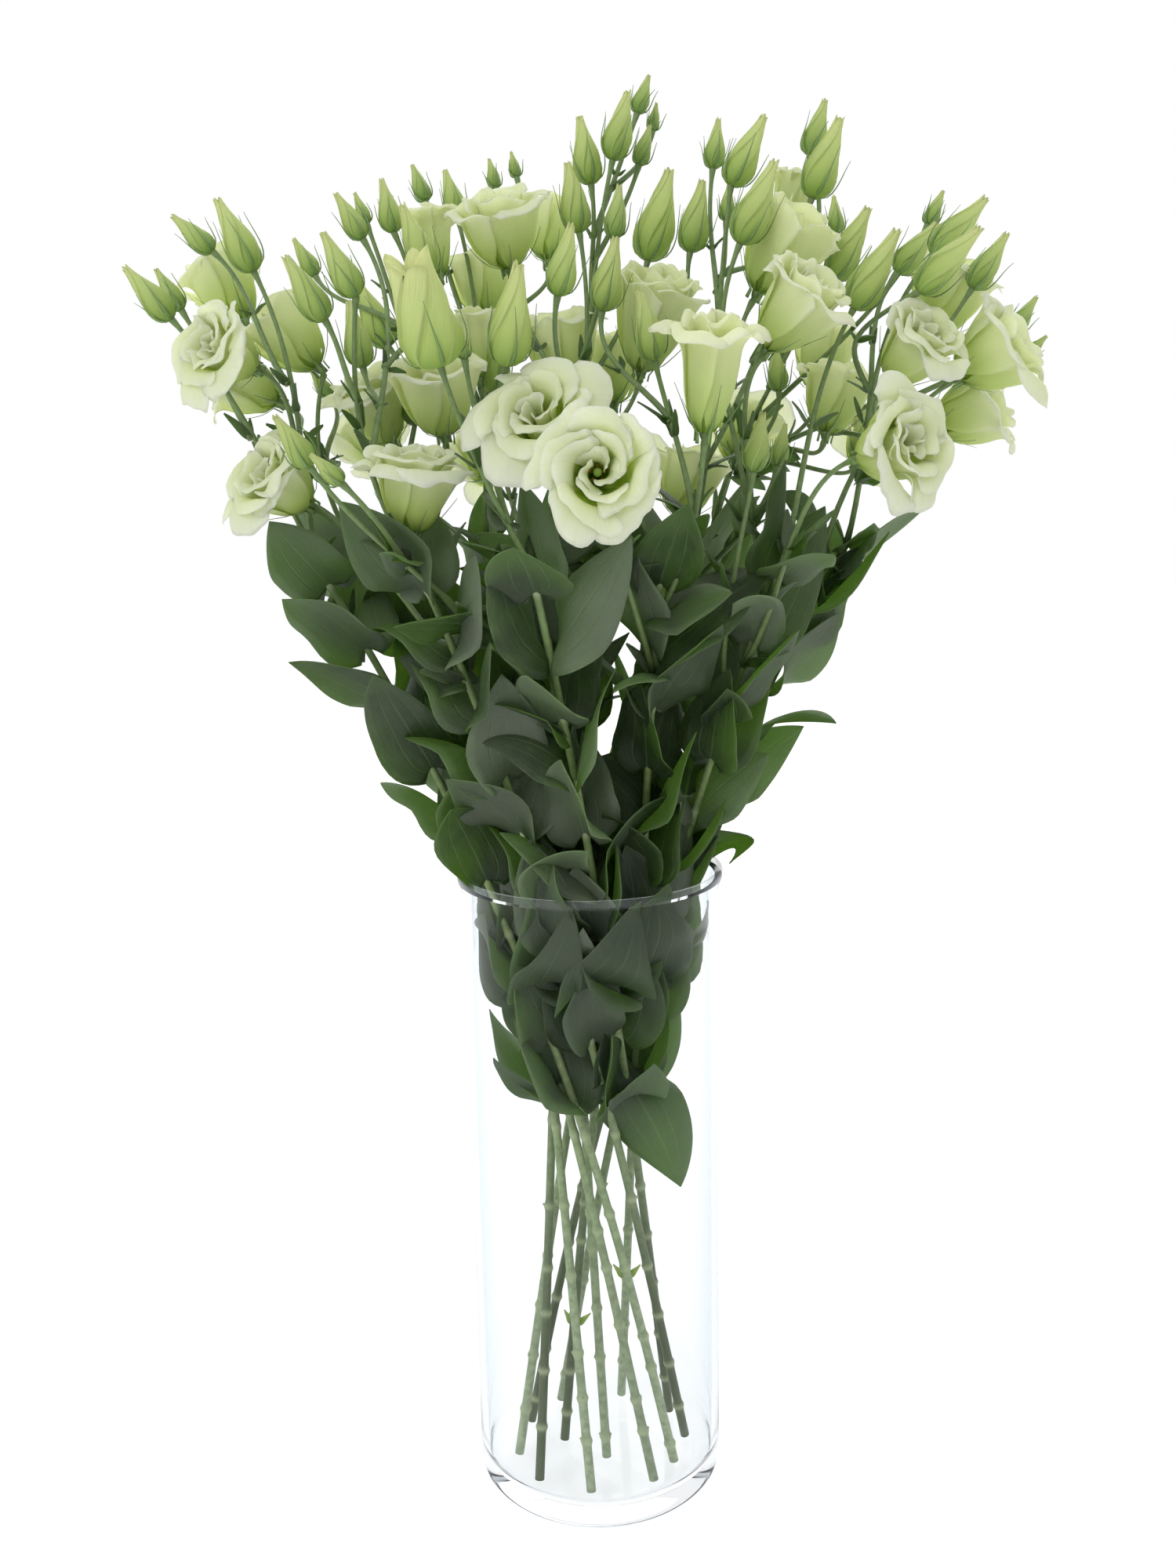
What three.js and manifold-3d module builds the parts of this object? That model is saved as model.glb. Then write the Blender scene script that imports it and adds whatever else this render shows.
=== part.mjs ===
// A bouquet of double lisianthus standing in a clear glass cylinder vase.
// Millimetres, +Z up. The origin is the middle of the vase's flat underside, and -Y is the front.
import * as THREE from "three";
import { mergeVertices } from "three/addons/utils/BufferGeometryUtils.js";
import Module from "manifold-3d";

const wasm = await Module();
wasm.setup();

// Driving dimensions of the vase.
const VASE_HEIGHT = 375;
const VASE_RADIUS = 72;
const VASE_WALL = 4;
const VASE_FLOOR = 13;
const VASE_HEEL = 14;
const LIP_RADIUS = 75;
const LIP_DROP = 16;
const FLOOR_FILLET = 14;
const VASE_SEGMENTS = 32;

// Driving dimensions of the plants.
const GAP = 0.3;
const SLIVER = 0.06;
const GRID = 0.002;
const FOOT_RADIUS = 2.7;
const CROWN_RADIUS = 1.9;
const CROWN_HEIGHT = 550;
const TWIG_RADIUS = 0.95;
const CALYX_LENGTH = 6;
const CALYX_RADIUS = 3.4;
const BLOOM_FOOT_RADIUS = 2.7;
const BLADE_THICKNESS = 1.2;

// Tubes: how many stretches and sides they have, and their radius at the start and at the end.
const MAIN = { steps: 9, sides: 5, thick: FOOT_RADIUS, thin: CROWN_RADIUS };
const STALK = { steps: 2, sides: 4, thin: TWIG_RADIUS };

// Heads are moved clear of each other along the sight line from this point.
const VIEWPOINT = new THREE.Vector3(0, -900, 607);
const DEPTH_SHIFTS = [0, 0.012, -0.012, 0.024, -0.024, 0.036, -0.036, 0.05, -0.05, 0.07, -0.07, 0.09];

// What each head is: where it is, how it leans in the front view (degrees, to the right), and its size.
// A bud is placed by its base. A bloom is placed by the middle of its petals, and its tilt is towards -Y.
const bud = (x, y, z, lean, length, girth = 0.48) => ({ x, y, z, lean, length, girth });
const bloom = (x, y, z, lean, tilt, width, depth) => ({ x, y, z, lean, tilt, width, depth });

// Each stem: the bearing that it leans to (0 is right, 90 is the back), how far out its crown and its
// foot stand on that bearing, how far beside the vase's axis it passes, and its heads, the leader first.
const STEMS = [
  { bearing: 183, crown: 142, foot: 42, pass: 24, heads: [
    bud(-170, 0, 700, -25, 39), bloom(-176, -60, 656, -60, 45, 52, 34), bud(-194, 15, 712, -48, 27),
    bud(-210, -20, 675, -40, 33), bud(-212, 12, 682, -30, 24), bloom(-195, 50, 695, -30, -15, 38, 34),
    bloom(-180, 20, 642, -60, 10, 34, 30)] },
  { bearing: 212, crown: 112, foot: 46, pass: 24, heads: [
    bud(-108, -70, 680, -25, 32), bud(-125, -60, 670, -30, 34), bud(-112, 0, 715, -30, 26),
    bloom(-153, -60, 592, -50, 35, 60, 36), bud(-115, 0, 650, -10, 34), bud(-80, 20, 698, -20, 38)] },
  { bearing: 156, crown: 112, foot: 44, pass: 24, heads: [
    bud(-100, 40, 723, -12, 28), bud(-117, 60, 730, -20, 18), bud(-150, 80, 705, -30, 24),
    bloom(-157, 30, 668, -40, 0, 36, 36), bud(-108, 60, 664, -25, 40), bud(-142, 60, 637, -35, 19),
    bloom(-114, 40, 632, -20, 15, 48, 40), bloom(-78, 30, 636, -5, 15, 44, 40),
    bloom(-125, 125, 610, -40, -50, 54, 38)] },
  { bearing: 242, crown: 100, foot: 48, pass: 24, heads: [
    bud(-65, -110, 645, -15, 45, 0.8), bloom(-82, -80, 590, 5, 8, 62, 42), bud(-57, -60, 650, -7, 14),
    bud(-128, -110, 600, -30, 28), bud(-112, -120, 592, -43, 20), bud(-35, -100, 645, 10, 46)] },
  { bearing: 282, crown: 72, foot: 46, pass: 24, heads: [
    bud(-10, -90, 677, 13, 32), bloom(-19, -110, 618, -20, 50, 68, 38), bloom(7, -140, 595, 10, 82, 74, 38),
    bloom(62, -90, 640, 4, 12, 42, 50), bud(37, -60, 648, -13, 33), bud(12, -20, 675, 12, 36)] },
  { bearing: 112, crown: 92, foot: 44, pass: 24, heads: [
    bud(-69, 100, 737, -14, 29), bud(-89, 120, 750, -20, 23), bud(-36, 150, 767, -12, 16),
    bud(-48, 130, 758, -12, 18), bloom(-57, 110, 700, -10, -15, 32, 34),
    bloom(-80, 70, 722, -5, -10, 28, 34),
    bloom(-17, 130, 733, 0, -15, 30, 32), bloom(-60, 150, 600, -15, -60, 58, 38)] },
  { bearing: 135, crown: 24, foot: 14, pass: 9, heads: [
    bud(1, 30, 720, -9, 36), bloom(-41, 30, 722, -10, 20, 42, 36), bud(19, 0, 713, 7, 26),
    bud(-50, 60, 638, 0, 46), bloom(-61, 60, 665, -10, 0, 28, 34), bloom(-10, 60, 660, -10, 0, 40, 38),
    bloom(38, -10, 672, 12, 18, 50, 52)] },
  { bearing: 74, crown: 60, foot: 46, pass: 24, heads: [
    bud(20, 50, 760, 14, 36), bud(8, 60, 749, -9, 36), bud(35, 90, 791, 19, 22), bud(35, 70, 760, 17, 22),
    bud(44, 100, 783, 10, 16), bud(39, 60, 708, 15, 50), bloom(21, 90, 650, 5, -10, 32, 34),
    bloom(30, 165, 590, 5, -65, 62, 38)] },
  { bearing: 326, crown: 110, foot: 46, pass: 24, heads: [
    bud(83, -20, 707, 24, 42), bloom(104, -20, 703, 30, 10, 38, 42), bloom(107, -60, 672, 35, 22, 50, 44),
    bud(140, -30, 673, 29, 42), bloom(148, -110, 604, 70, 50, 64, 38), bud(86, -60, 593, 8, 29)] },
  { bearing: 18, crown: 66, foot: 20, pass: 9, heads: [
    bud(82, 20, 741, 27, 38), bud(77, 80, 759, 8, 27), bud(62, 50, 711, 11, 38), bud(83, 60, 728, 5, 20),
    bloom(117, 60, 736, 20, -5, 28, 34), bud(125, 20, 734, 20, 42), bud(129, 60, 762, 17, 30),
    bud(135, 10, 691, 27, 40), bud(107, 20, 594, 12, 23), bloom(60, 50, 585, 15, -10, 34, 34)] },
  { bearing: 42, crown: 125, foot: 44, pass: 24, heads: [
    bud(152, 110, 726, -3, 22), bud(142, 120, 714, -4, 18), bloom(206, 60, 685, 20, 0, 44, 38),
    bud(195, 60, 724, 26, 20), bloom(143, 100, 654, 10, -15, 32, 34), bloom(144, 60, 630, 15, -10, 34, 34),
    bloom(218, 40, 622, 65, 15, 46, 36), bud(115, 80, 636, -4, 27), bloom(100, 150, 610, 25, -55, 56, 38),
    bloom(175, 110, 605, 45, -45, 54, 38)] },
  { bearing: 2, crown: 148, foot: 42, pass: 24, heads: [
    bud(182, -20, 699, 43, 37), bud(171, 20, 695, 40, 32), bud(169, -50, 679, 44, 40),
    bud(214, 30, 687, 33, 33), bloom(214, -20, 650, 55, 20, 44, 36), bud(236, 30, 663, 36, 23),
    bud(251, 60, 651, 48, 18), bloom(168, -50, 652, 35, 35, 50, 38)] },
];

const radians = (degrees) => (degrees * Math.PI) / 180;
const vector = (x, y, z) => new THREE.Vector3(x, y, z);
const along = (start, direction, distance) => start.clone().addScaledVector(direction, distance);

// A repeatable number from 0 to 1 for three whole-number keys, mixed bit by bit.
const KEY_STEPS = [7919, 104729, 15485863];
const KEY_START = 0x6d2b79f5;

function chance(a, b, c) {
  let t = (a * KEY_STEPS[0] + b * KEY_STEPS[1] + c * KEY_STEPS[2] + KEY_START) >>> 0;
  t = Math.imul(t ^ (t >>> 15), t | 1);
  t ^= t + Math.imul(t ^ (t >>> 7), t | 61);
  return ((t ^ (t >>> 14)) >>> 0) / 2 ** 32;
}

// A repeatable number within a range.
const within = ([low, high], a, b, c) => low + (high - low) * chance(a, b, c);

// A solid from points and the triangles between them.
function solidFrom(points, triangles) {
  const vertProperties = new Float32Array(points.flatMap((p) => [p.x, p.y, p.z]));
  const triVerts = new Uint32Array(triangles.flat());
  return new wasm.Manifold(new wasm.Mesh({ numProp: 3, vertProperties, triVerts }));
}

// A closed solid through rings of points; a ring of one point is a sharp end.
function loft(rings) {
  const points = rings.flat();
  const triangles = [];
  let start = 0;
  for (let r = 0; r + 1 < rings.length; r++) {
    const here = rings[r].length;
    const next = rings[r + 1].length;
    const sides = Math.max(here, next);
    for (let i = 0; i < sides; i++) {
      const j = (i + 1) % sides;
      const low = [start + (i % here), start + (j % here)];
      const high = [start + here + (i % next), start + here + (j % next)];
      if (here > 1) triangles.push([low[0], low[1], high[1]]);
      if (next > 1) triangles.push([low[0], high[1], high[0]]);
    }
    start += here;
  }
  const last = rings[rings.length - 1].length;
  for (let i = 1; i + 1 < rings[0].length; i++) triangles.push([0, i + 1, i]);
  for (let i = 1; i + 1 < last; i++) triangles.push([start, start + i, start + i + 1]);
  return solidFrom(points, triangles);
}

// Two directions square to an axis, the first as near as it can be to a given one.
function squareTo(axis, near) {
  const first = near.clone().addScaledVector(axis, -near.dot(axis)).normalize();
  return [first, axis.clone().cross(first)];
}

function ring(centre, axis, near, radius, sides, turn = 0) {
  const [first, second] = squareTo(axis, near);
  return Array.from({ length: sides }, (_, i) => {
    const angle = turn + (i * 2 * Math.PI) / sides;
    return along(along(centre, first, radius * Math.cos(angle)), second, radius * Math.sin(angle));
  });
}

// Rings of a tapered tube along a stretch of a curve. Their turn is carried back from the far end.
function tubeRings(curve, shape, from = 0, to = 1) {
  let near = vector(1, 0, 0);
  const rings = [];
  for (let k = shape.steps; k >= 0; k--) {
    const share = from + ((to - from) * k) / shape.steps;
    const axis = curve.getTangent(share);
    near = squareTo(axis, near)[0];
    const radius = shape.thick + (shape.thin - shape.thick) * share;
    rings.unshift(ring(curve.getPoint(share), axis, near, radius, shape.sides));
  }
  return rings;
}

// The middle of a tube at a share of its curve, on the straight stretch between its rings.
function onTube(curve, shape, share) {
  const step = Math.min(Math.floor(share * shape.steps), shape.steps - 1);
  const low = curve.getPoint(step / shape.steps);
  const high = curve.getPoint((step + 1) / shape.steps);
  return low.lerp(high, share * shape.steps - step);
}

// A thin closed blade through stations of left, top, right and bottom points, pointed at both ends.
// Its upper and lower faces are split into triangles alike.
function blade(stations) {
  const points = [];
  const add = (p) => points.push(p) - 1;
  const rows = stations.map((s) => {
    if (!s.isVector3) {
      return { left: add(s.left), top: add(s.top), right: add(s.right), under: add(s.under) };
    }
    const tip = add(s);
    return { left: tip, top: tip, right: tip, under: tip };
  });
  const triangles = [];
  const face = (a, b, c) => {
    if (a !== b && b !== c && a !== c) triangles.push([a, b, c]);
  };
  for (let i = 0; i + 1 < rows.length; i++) {
    const a = rows[i];
    const b = rows[i + 1];
    face(a.left, a.top, b.top);
    face(a.left, b.top, b.left);
    face(a.right, b.top, a.top);
    face(a.right, b.right, b.top);
    face(a.left, b.under, a.under);
    face(a.left, b.left, b.under);
    face(a.right, a.under, b.under);
    face(a.right, b.under, b.right);
  }
  return solidFrom(points, triangles);
}

// Solids that stand in their place, each with the node that it belongs to.
const placed = [];

function place(owner, solid) {
  placed.push({ owner, solid, box: solid.boundingBox() });
}

function boxesMeet(a, b) {
  return [0, 1, 2].every((k) => a.min[k] < b.max[k] && b.min[k] < a.max[k]);
}

// Whether a solid keeps clear of all solids in place, apart from those of its own node if one is named.
function isClear(solid, ownNode) {
  const box = solid.boundingBox();
  return placed.every((other) => {
    if (other.owner === ownNode || !boxesMeet(box, other.box)) return true;
    return solid.intersect(other.solid).isEmpty();
  });
}

// The way that a head points. A bud turns out from the middle of the vase's rim.
const BUD_OUTWARD = 0.8;

function directionOf(head) {
  const lean = radians(head.lean);
  const outward = Math.atan2(head.y, head.z - VASE_HEIGHT) * -BUD_OUTWARD;
  const tilt = head.width ? radians(head.tilt) : outward;
  return vector(Math.sin(lean) * Math.cos(tilt), -Math.sin(tilt), Math.cos(lean) * Math.cos(tilt));
}

// Where a head's stalk ends, for one of the shifts along the sight line.
const BLOOM_MIDDLE = 0.55;

function seatOf(head, shift) {
  const place = vector(head.x, head.y, head.z).sub(VIEWPOINT).multiplyScalar(1 + shift).add(VIEWPOINT);
  if (!head.width) return place;
  return along(place, directionOf(head), -BLOOM_MIDDLE * head.depth - CALYX_LENGTH);
}

// A closed bud: twisted petals that swell from the stalk and taper to a point.
const BUD_PROFILE = [[0.03, 0.3], [0.32, 1], [0.7, 0.58]];
const BUD_TWIST = 0.9;

function budRings(seat, axis, head) {
  const near = vector(1, 0, 0);
  const widest = (head.girth * head.length) / 2;
  const rings = BUD_PROFILE.map(([share, wide]) =>
    ring(along(seat, axis, share * head.length), axis, near, wide * widest, STALK.sides, share * BUD_TWIST));
  return [...rings, [along(seat, axis, head.length)]];
}

// The green cup under a bloom.
function calyxRings(seat, axis) {
  return [ring(along(seat, axis, CALYX_LENGTH), axis, vector(1, 0, 0), CALYX_RADIUS, STALK.sides)];
}

// Rings of a bloom from the calyx up over the outer petals, down between them and the inner petals, and up
// to the heart: shares of its width and depth, how far the petals' edges are tucked, and a turn in petals.
const PETALS = 5;
const SMALL_BLOOM = 47;
const BLOOM_RINGS = [
  { out: 0.32, up: 0.34, tuck: 0.05, notch: 0, turn: 0 },
  { out: 0.5, up: 0.92, tuck: 0.11, notch: 0.22, turn: 0 },
  { out: 0.24, up: 0.46, tuck: 0.04, notch: 0, turn: 0.2 },
  { out: 0.29, up: 1, tuck: 0.12, notch: 0.16, turn: 0.5 },
  { out: 0.11, up: 0.6, tuck: 0.04, notch: 0, turn: 0.7 },
];
const HEART_RISE = 0.9;
const EDGE_SLIT = 0.03;
const SMALL_EDGE = 0.15;

// One ring: each petal has an edge tucked under its neighbour, a middle, and an edge over the next. A small
// bloom's petal has the tucked edge and one more corner.
function petalRing(base, axis, near, head, { out, up, tuck, notch, turn }) {
  const [first, second] = squareTo(axis, near);
  const underEdge = { share: EDGE_SLIT - 0.5, radius: 1 - tuck, rise: 1 - notch };
  const middle = { share: 0, radius: 1, rise: 1 };
  const overEdge = { share: 0.5 - EDGE_SLIT, radius: 1 + tuck, rise: 1 - notch };
  const smallEdge = { share: SMALL_EDGE, radius: 1 + tuck, rise: 1 };
  const corners = head.width < SMALL_BLOOM ? [underEdge, smallEdge] : [underEdge, middle, overEdge];
  return Array.from({ length: PETALS }, (_, petal) => corners.map((corner) => {
    const angle = ((petal + turn + corner.share) * 2 * Math.PI) / PETALS;
    const away = first.clone().multiplyScalar(Math.cos(angle)).addScaledVector(second, Math.sin(angle));
    const point = along(base, away, head.width * out * corner.radius);
    return along(point, axis, head.depth * up * corner.rise);
  })).flat();
}

// A bloom: two whorls of overlapping petals round a rolled heart, seated on the calyx.
function bloomSolid(seat, axis, head) {
  const near = vector(1, 0, 0);
  const base = along(seat, axis, CALYX_LENGTH + GAP);
  const points = PETALS * (head.width < SMALL_BLOOM ? 2 : 3);
  const foot = ring(base, axis, near, BLOOM_FOOT_RADIUS, points, -Math.PI / PETALS);
  const rings = BLOOM_RINGS.map((shape) => petalRing(base, axis, near, head, shape));
  return loft([foot, ...rings, [along(base, axis, head.depth * HEART_RISE)]]);
}

// A leaf's outline, as shares of its length and of its width.
const LEAF_OUTLINE = [[0.27, 0.92], [0.62, 0.86]];
const SMALL_OUTLINE = [[0.4, 1]];
const SMALL_LEAF = 26;
const ARC_STEPS = 8;

// A leaf from its stem: a folded blade that leaves the stem at a pitch and arches over.
function leafSolid(root, stemAxis, outward, leaf, thickness, from = 0) {
  const side = stemAxis.clone().cross(outward).normalize();
  const forwardAt = (share) => {
    const angle = leaf.pitch + leaf.arch * share;
    return stemAxis.clone().multiplyScalar(Math.cos(angle)).addScaledVector(outward, Math.sin(angle));
  };
  const point = (share) => {
    let spot = root.clone();
    for (let k = 0; k < ARC_STEPS; k++) {
      spot = along(spot, forwardAt((share * (k + 0.5)) / ARC_STEPS), (leaf.length * share) / ARC_STEPS);
    }
    return spot;
  };
  const station = ([share, wide]) => {
    const up = side.clone().cross(forwardAt(share));
    const half = (wide * leaf.width) / 2;
    const middle = point(share);
    const edge = along(middle, up, half * leaf.fold);
    return {
      left: along(edge, side, -half),
      top: along(middle, up, thickness / 2),
      right: along(edge, side, half),
      under: along(middle, up, -thickness / 2),
    };
  };
  const outline = leaf.length > SMALL_LEAF ? LEAF_OUTLINE : SMALL_OUTLINE;
  return blade([point(from), ...outline.map(station), point(1)]);
}

// The vase: a straight glass wall on a thick foot, with a slightly flared, rounded lip.
function vaseGeometry() {
  const inner = VASE_RADIUS - VASE_WALL;
  const heel = [-90, -45, 0].map((degrees) => new THREE.Vector2(
    VASE_RADIUS - VASE_HEEL + VASE_HEEL * Math.cos(radians(degrees)),
    VASE_HEEL + VASE_HEEL * Math.sin(radians(degrees)),
  ));
  const fillet = [0, -45, -90].map((degrees) => new THREE.Vector2(
    inner - FLOOR_FILLET + FLOOR_FILLET * Math.cos(radians(degrees)),
    VASE_FLOOR + FLOOR_FILLET + FLOOR_FILLET * Math.sin(radians(degrees)),
  ));
  const lipInner = LIP_RADIUS - VASE_WALL;
  const profile = [
    new THREE.Vector2(0, 0),
    ...heel,
    new THREE.Vector2(VASE_RADIUS, VASE_HEIGHT - LIP_DROP),
    new THREE.Vector2(LIP_RADIUS, VASE_HEIGHT - VASE_WALL / 2),
    new THREE.Vector2(LIP_RADIUS - VASE_WALL / 2, VASE_HEIGHT),
    new THREE.Vector2(lipInner, VASE_HEIGHT - VASE_WALL / 2),
    new THREE.Vector2(inner, VASE_HEIGHT - LIP_DROP),
    ...fillet,
    new THREE.Vector2(0, VASE_FLOOR),
  ];
  return new THREE.LatheGeometry(profile, VASE_SEGMENTS).rotateX(Math.PI / 2);
}

// Corners closer than this are one corner.
const SAME_CORNER = 1e-3;

function solidOfGeometry(geometry) {
  const bare = geometry.clone();
  bare.deleteAttribute("normal");
  bare.deleteAttribute("uv");
  const merged = mergeVertices(bare, SAME_CORNER);
  const mesh = new wasm.Mesh({
    numProp: 3,
    vertProperties: new Float32Array(merged.attributes.position.array),
    triVerts: new Uint32Array(merged.index.array),
  });
  return new wasm.Manifold(mesh);
}

function geometryOfSolid(solid) {
  const mesh = solid.getMesh();
  return new THREE.BufferGeometry()
    .setAttribute("position", new THREE.BufferAttribute(mesh.vertProperties, 3))
    .setIndex(new THREE.BufferAttribute(mesh.triVerts, 1));
}

const largestBody = (solid) => solid.decompose().reduce((a, b) => (b.volume() > a.volume() ? b : a));

// The same solid with its corners on a fine grid, and those that then meet merged.
function onGrid(solid) {
  const geometry = geometryOfSolid(solid);
  const corners = geometry.attributes.position;
  corners.array.forEach((value, i) => {
    corners.array[i] = Math.round(value / GRID) * GRID;
  });
  return solidOfGeometry(geometry);
}

// Pieces fused into one body. A hollow that the fusing seals is filled, and a loose scrap is dropped.
function fuse(pieces) {
  const whole = wasm.Manifold.union(pieces).simplify(SLIVER);
  return largestBody(onGrid(largestBody(whole)));
}

// A main stem's middle line: from its foot on the glass floor, past the vase's axis, to its crown. Its two
// bends are at set heights, and stand out from the axis by a share of the foot's or the crown's reach.
const LOW_BEND = { height: 170, share: 0.25 };
const HIGH_BEND = { height: 350, share: 0.2 };

function mainCurve(stem) {
  const bearing = radians(stem.bearing);
  const outward = vector(Math.cos(bearing), Math.sin(bearing), 0);
  const beside = vector(-Math.sin(bearing), Math.cos(bearing), 0);
  const at = (out, height) => along(along(vector(0, 0, height), outward, out), beside, stem.pass);
  return new THREE.CubicBezierCurve3(
    at(-stem.foot, VASE_FLOOR + FOOT_RADIUS),
    at(-stem.foot * LOW_BEND.share, LOW_BEND.height),
    at(stem.crown * HIGH_BEND.share, HIGH_BEND.height),
    at(stem.crown, CROWN_HEIGHT),
  );
}

// Places on a stem's main line and branches where a head's stalk could start, the most natural first: a
// short stalk with an easy bend, away from places that are taken. It starts thinner than what it leaves.
const MAIN_FORKS = [1, 0.95, 0.9, 0.85, 0.8, 0.75];
const BRANCH_FORKS = [0.22, 0.4, 0.6];
const SHORTEST_STALK = 38;
const LONGEST_STALK = 345;
const EASY_FORK = radians(38);
const TAKEN_WITHIN = 14;
const TAKEN_COST = 1.7;
const MOST_FORKS = 14;
const FORK_THINNING = 0.68;

function forksFor(seat, stem) {
  const forks = [];
  const offer = (curve, shape, shares) => {
    for (const share of shares) {
      const start = onTube(curve, shape, share);
      const axis = curve.getTangent(share);
      const reach = seat.clone().sub(start);
      const length = reach.length();
      if (length < SHORTEST_STALK || length > LONGEST_STALK) continue;
      const bend = reach.angleTo(axis) / EASY_FORK;
      const taken = stem.branches.some((b) => b.curve.getPoint(0).distanceTo(start) < TAKEN_WITHIN);
      const cost = length * (1 + bend ** 3) * (taken ? TAKEN_COST : 1);
      const radius = FORK_THINNING * (shape.thick + (shape.thin - shape.thick) * share);
      forks.push({ start, axis, reach, length, cost, radius });
    }
  };
  offer(stem.main, MAIN, MAIN_FORKS);
  for (const branch of stem.branches) offer(branch.curve, branch.shape, BRANCH_FORKS);
  return forks.sort((a, b) => a.cost - b.cost).slice(0, MOST_FORKS);
}

// How a stalk can bow to the side, as shares of its length: not at all, or by three sizes on eight bearings.
const BOW_SIZES = [0.11, 0.2, 0.3];
const BOW_BEARINGS = [0, 90, 180, 270, 45, 135, 225, 315].map(radians);
const BOWS = [vector(0, 0, 0), ...BOW_SIZES.flatMap((size) =>
  BOW_BEARINGS.map((bearing) => vector(size * Math.cos(bearing), size * Math.sin(bearing), 0)))];

// A stalk from its fork to its head. It leaves the fork between the parent's way and its own.
const FORK_SPREAD = 0.5;
const RISE_SHARE = 0.36;
const REACH_SHARE = 0.34;

function stalkCurve(fork, seat, axis, bow) {
  const shift = bow.clone().multiplyScalar(fork.length);
  const aside = squareTo(fork.axis, fork.reach)[0];
  const rise = fork.axis.clone().addScaledVector(aside, FORK_SPREAD).normalize();
  return new THREE.CubicBezierCurve3(
    fork.start,
    along(fork.start, rise, fork.length * RISE_SHARE).add(shift),
    along(seat, axis, -fork.length * REACH_SHARE).add(shift),
    seat,
  );
}

const group = new THREE.Group();
const leafGreen = new THREE.MeshStandardMaterial({ color: 0x4c6a4a, roughness: 0.6, metalness: 0 });
const petalCream = new THREE.MeshStandardMaterial({ color: 0xeef0cf, roughness: 0.65, metalness: 0 });
const clearGlass = new THREE.MeshStandardMaterial({
  color: 0xe6f0f2, roughness: 0.05, metalness: 0, transparent: true, opacity: 0.3,
});

function addNode(name, geometry, material) {
  const mesh = new THREE.Mesh(geometry, material);
  mesh.name = name;
  group.add(mesh);
}

const twoDigits = (n) => String(n).padStart(2, "0");

// The vase stands first, and the stems in it.
addNode("vase", vaseGeometry(), clearGlass);
place("vase", solidOfGeometry(vaseGeometry()));
const stems = STEMS.map((stem, index) => {
  const name = "stem_" + twoDigits(index + 1);
  const main = mainCurve(stem);
  const body = loft(tubeRings(main, MAIN));
  place(name, body);
  return { name, main, heads: stem.heads, branches: [], pieces: [body] };
});

// The heads are settled before the stalks, because their places are the ones that show.
let bloomCount = 0;
for (const stem of stems) {
  for (const head of stem.heads) {
    const axis = directionOf(head);
    const build = head.width ? bloomSolid : (...seated) => loft(budRings(...seated));
    const name = head.width ? "bloom_" + twoDigits(++bloomCount) : stem.name;
    const shift = DEPTH_SHIFTS.find((s) => isClear(build(seatOf(head, s), axis, head)));
    if (shift === undefined) throw new Error("no clear place for a head of " + name);
    const solid = build(seatOf(head, shift), axis, head);
    place(name, solid);
    Object.assign(head, { axis, seat: seatOf(head, shift) });
    if (head.width) addNode(name, geometryOfSolid(solid), petalCream);
  }
}

// Each head's stalk starts at the fork, and takes the bow, that first comes clear. Near the fork it may
// touch its own stem.
const FREE_STRETCH = [0.35, 0.88];

function findStalk(stem, head) {
  for (const fork of forksFor(head.seat, stem)) {
    for (const bow of BOWS) {
      const curve = stalkCurve(fork, head.seat, head.axis, bow);
      const shape = { ...STALK, thick: fork.radius };
      const free = loft(tubeRings(curve, shape, ...FREE_STRETCH));
      const roomy = loft(tubeRings(curve, { ...shape, thick: shape.thick + GAP, thin: shape.thin + GAP }));
      if (isClear(roomy, stem.name) && isClear(free)) return { curve, shape };
    }
  }
  throw new Error("no clear stalk for a head of " + stem.name);
}

for (const stem of stems) {
  for (const head of stem.heads) {
    const stalk = findStalk(stem, head);
    const end = head.width ? calyxRings(head.seat, head.axis) : budRings(head.seat, head.axis, head);
    const solid = loft([...tubeRings(stalk.curve, stalk.shape), ...end]);
    stem.branches.push(stalk);
    stem.pieces.push(solid);
    place(stem.name, solid);
  }
}

// A leaf takes the turn and the lift (degrees) that first come clear, or is left off. Near its root it may
// touch its own stem.
const LEAF_TURNS = [0, 18, -18, 36, -36, 54, -54];
const LEAF_LIFTS = [0, -12, 12, -22, 24];
const ROOT_DEPTH = 0.72;
const FREE_LEAF_FROM = 0.2;

function addLeaf(stem, root, stemAxis, bearing, leaf) {
  const roomy = BLADE_THICKNESS + 2 * GAP;
  for (const turn of LEAF_TURNS) {
    for (const lift of LEAF_LIFTS) {
      const angle = bearing + radians(turn);
      const outward = squareTo(stemAxis, vector(Math.cos(angle), Math.sin(angle), 0))[0];
      const tried = { ...leaf, pitch: leaf.pitch + radians(lift) };
      const start = along(root, outward, ROOT_DEPTH * leaf.stemRadius);
      if (!isClear(leafSolid(start, stemAxis, outward, tried, roomy), stem.name)) continue;
      if (!isClear(leafSolid(start, stemAxis, outward, tried, roomy, FREE_LEAF_FROM))) continue;
      const solid = leafSolid(start, stemAxis, outward, tried, BLADE_THICKNESS);
      stem.pieces.push(solid);
      place(stem.name, solid);
      return;
    }
  }
}

// Pairs of leaves at joints along the main stem. In the vase they stand close to the stem.
const LEAF_JOINTS = 6;
const FIRST_JOINT = 0.42;
const LAST_JOINT = 0.98;
const BELOW_RIM = 15;
const PAIR_LENGTH = [50, 66];
const PAIR_WIDTH = [30, 40];
const PAIR_FOLD = [0.12, 0.4];
const OPEN_PAIR = { pitch: [26, 50], arch: [-10, 60] };
const HELD_PAIR = { pitch: [16, 30], arch: [-20, 10] };

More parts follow.
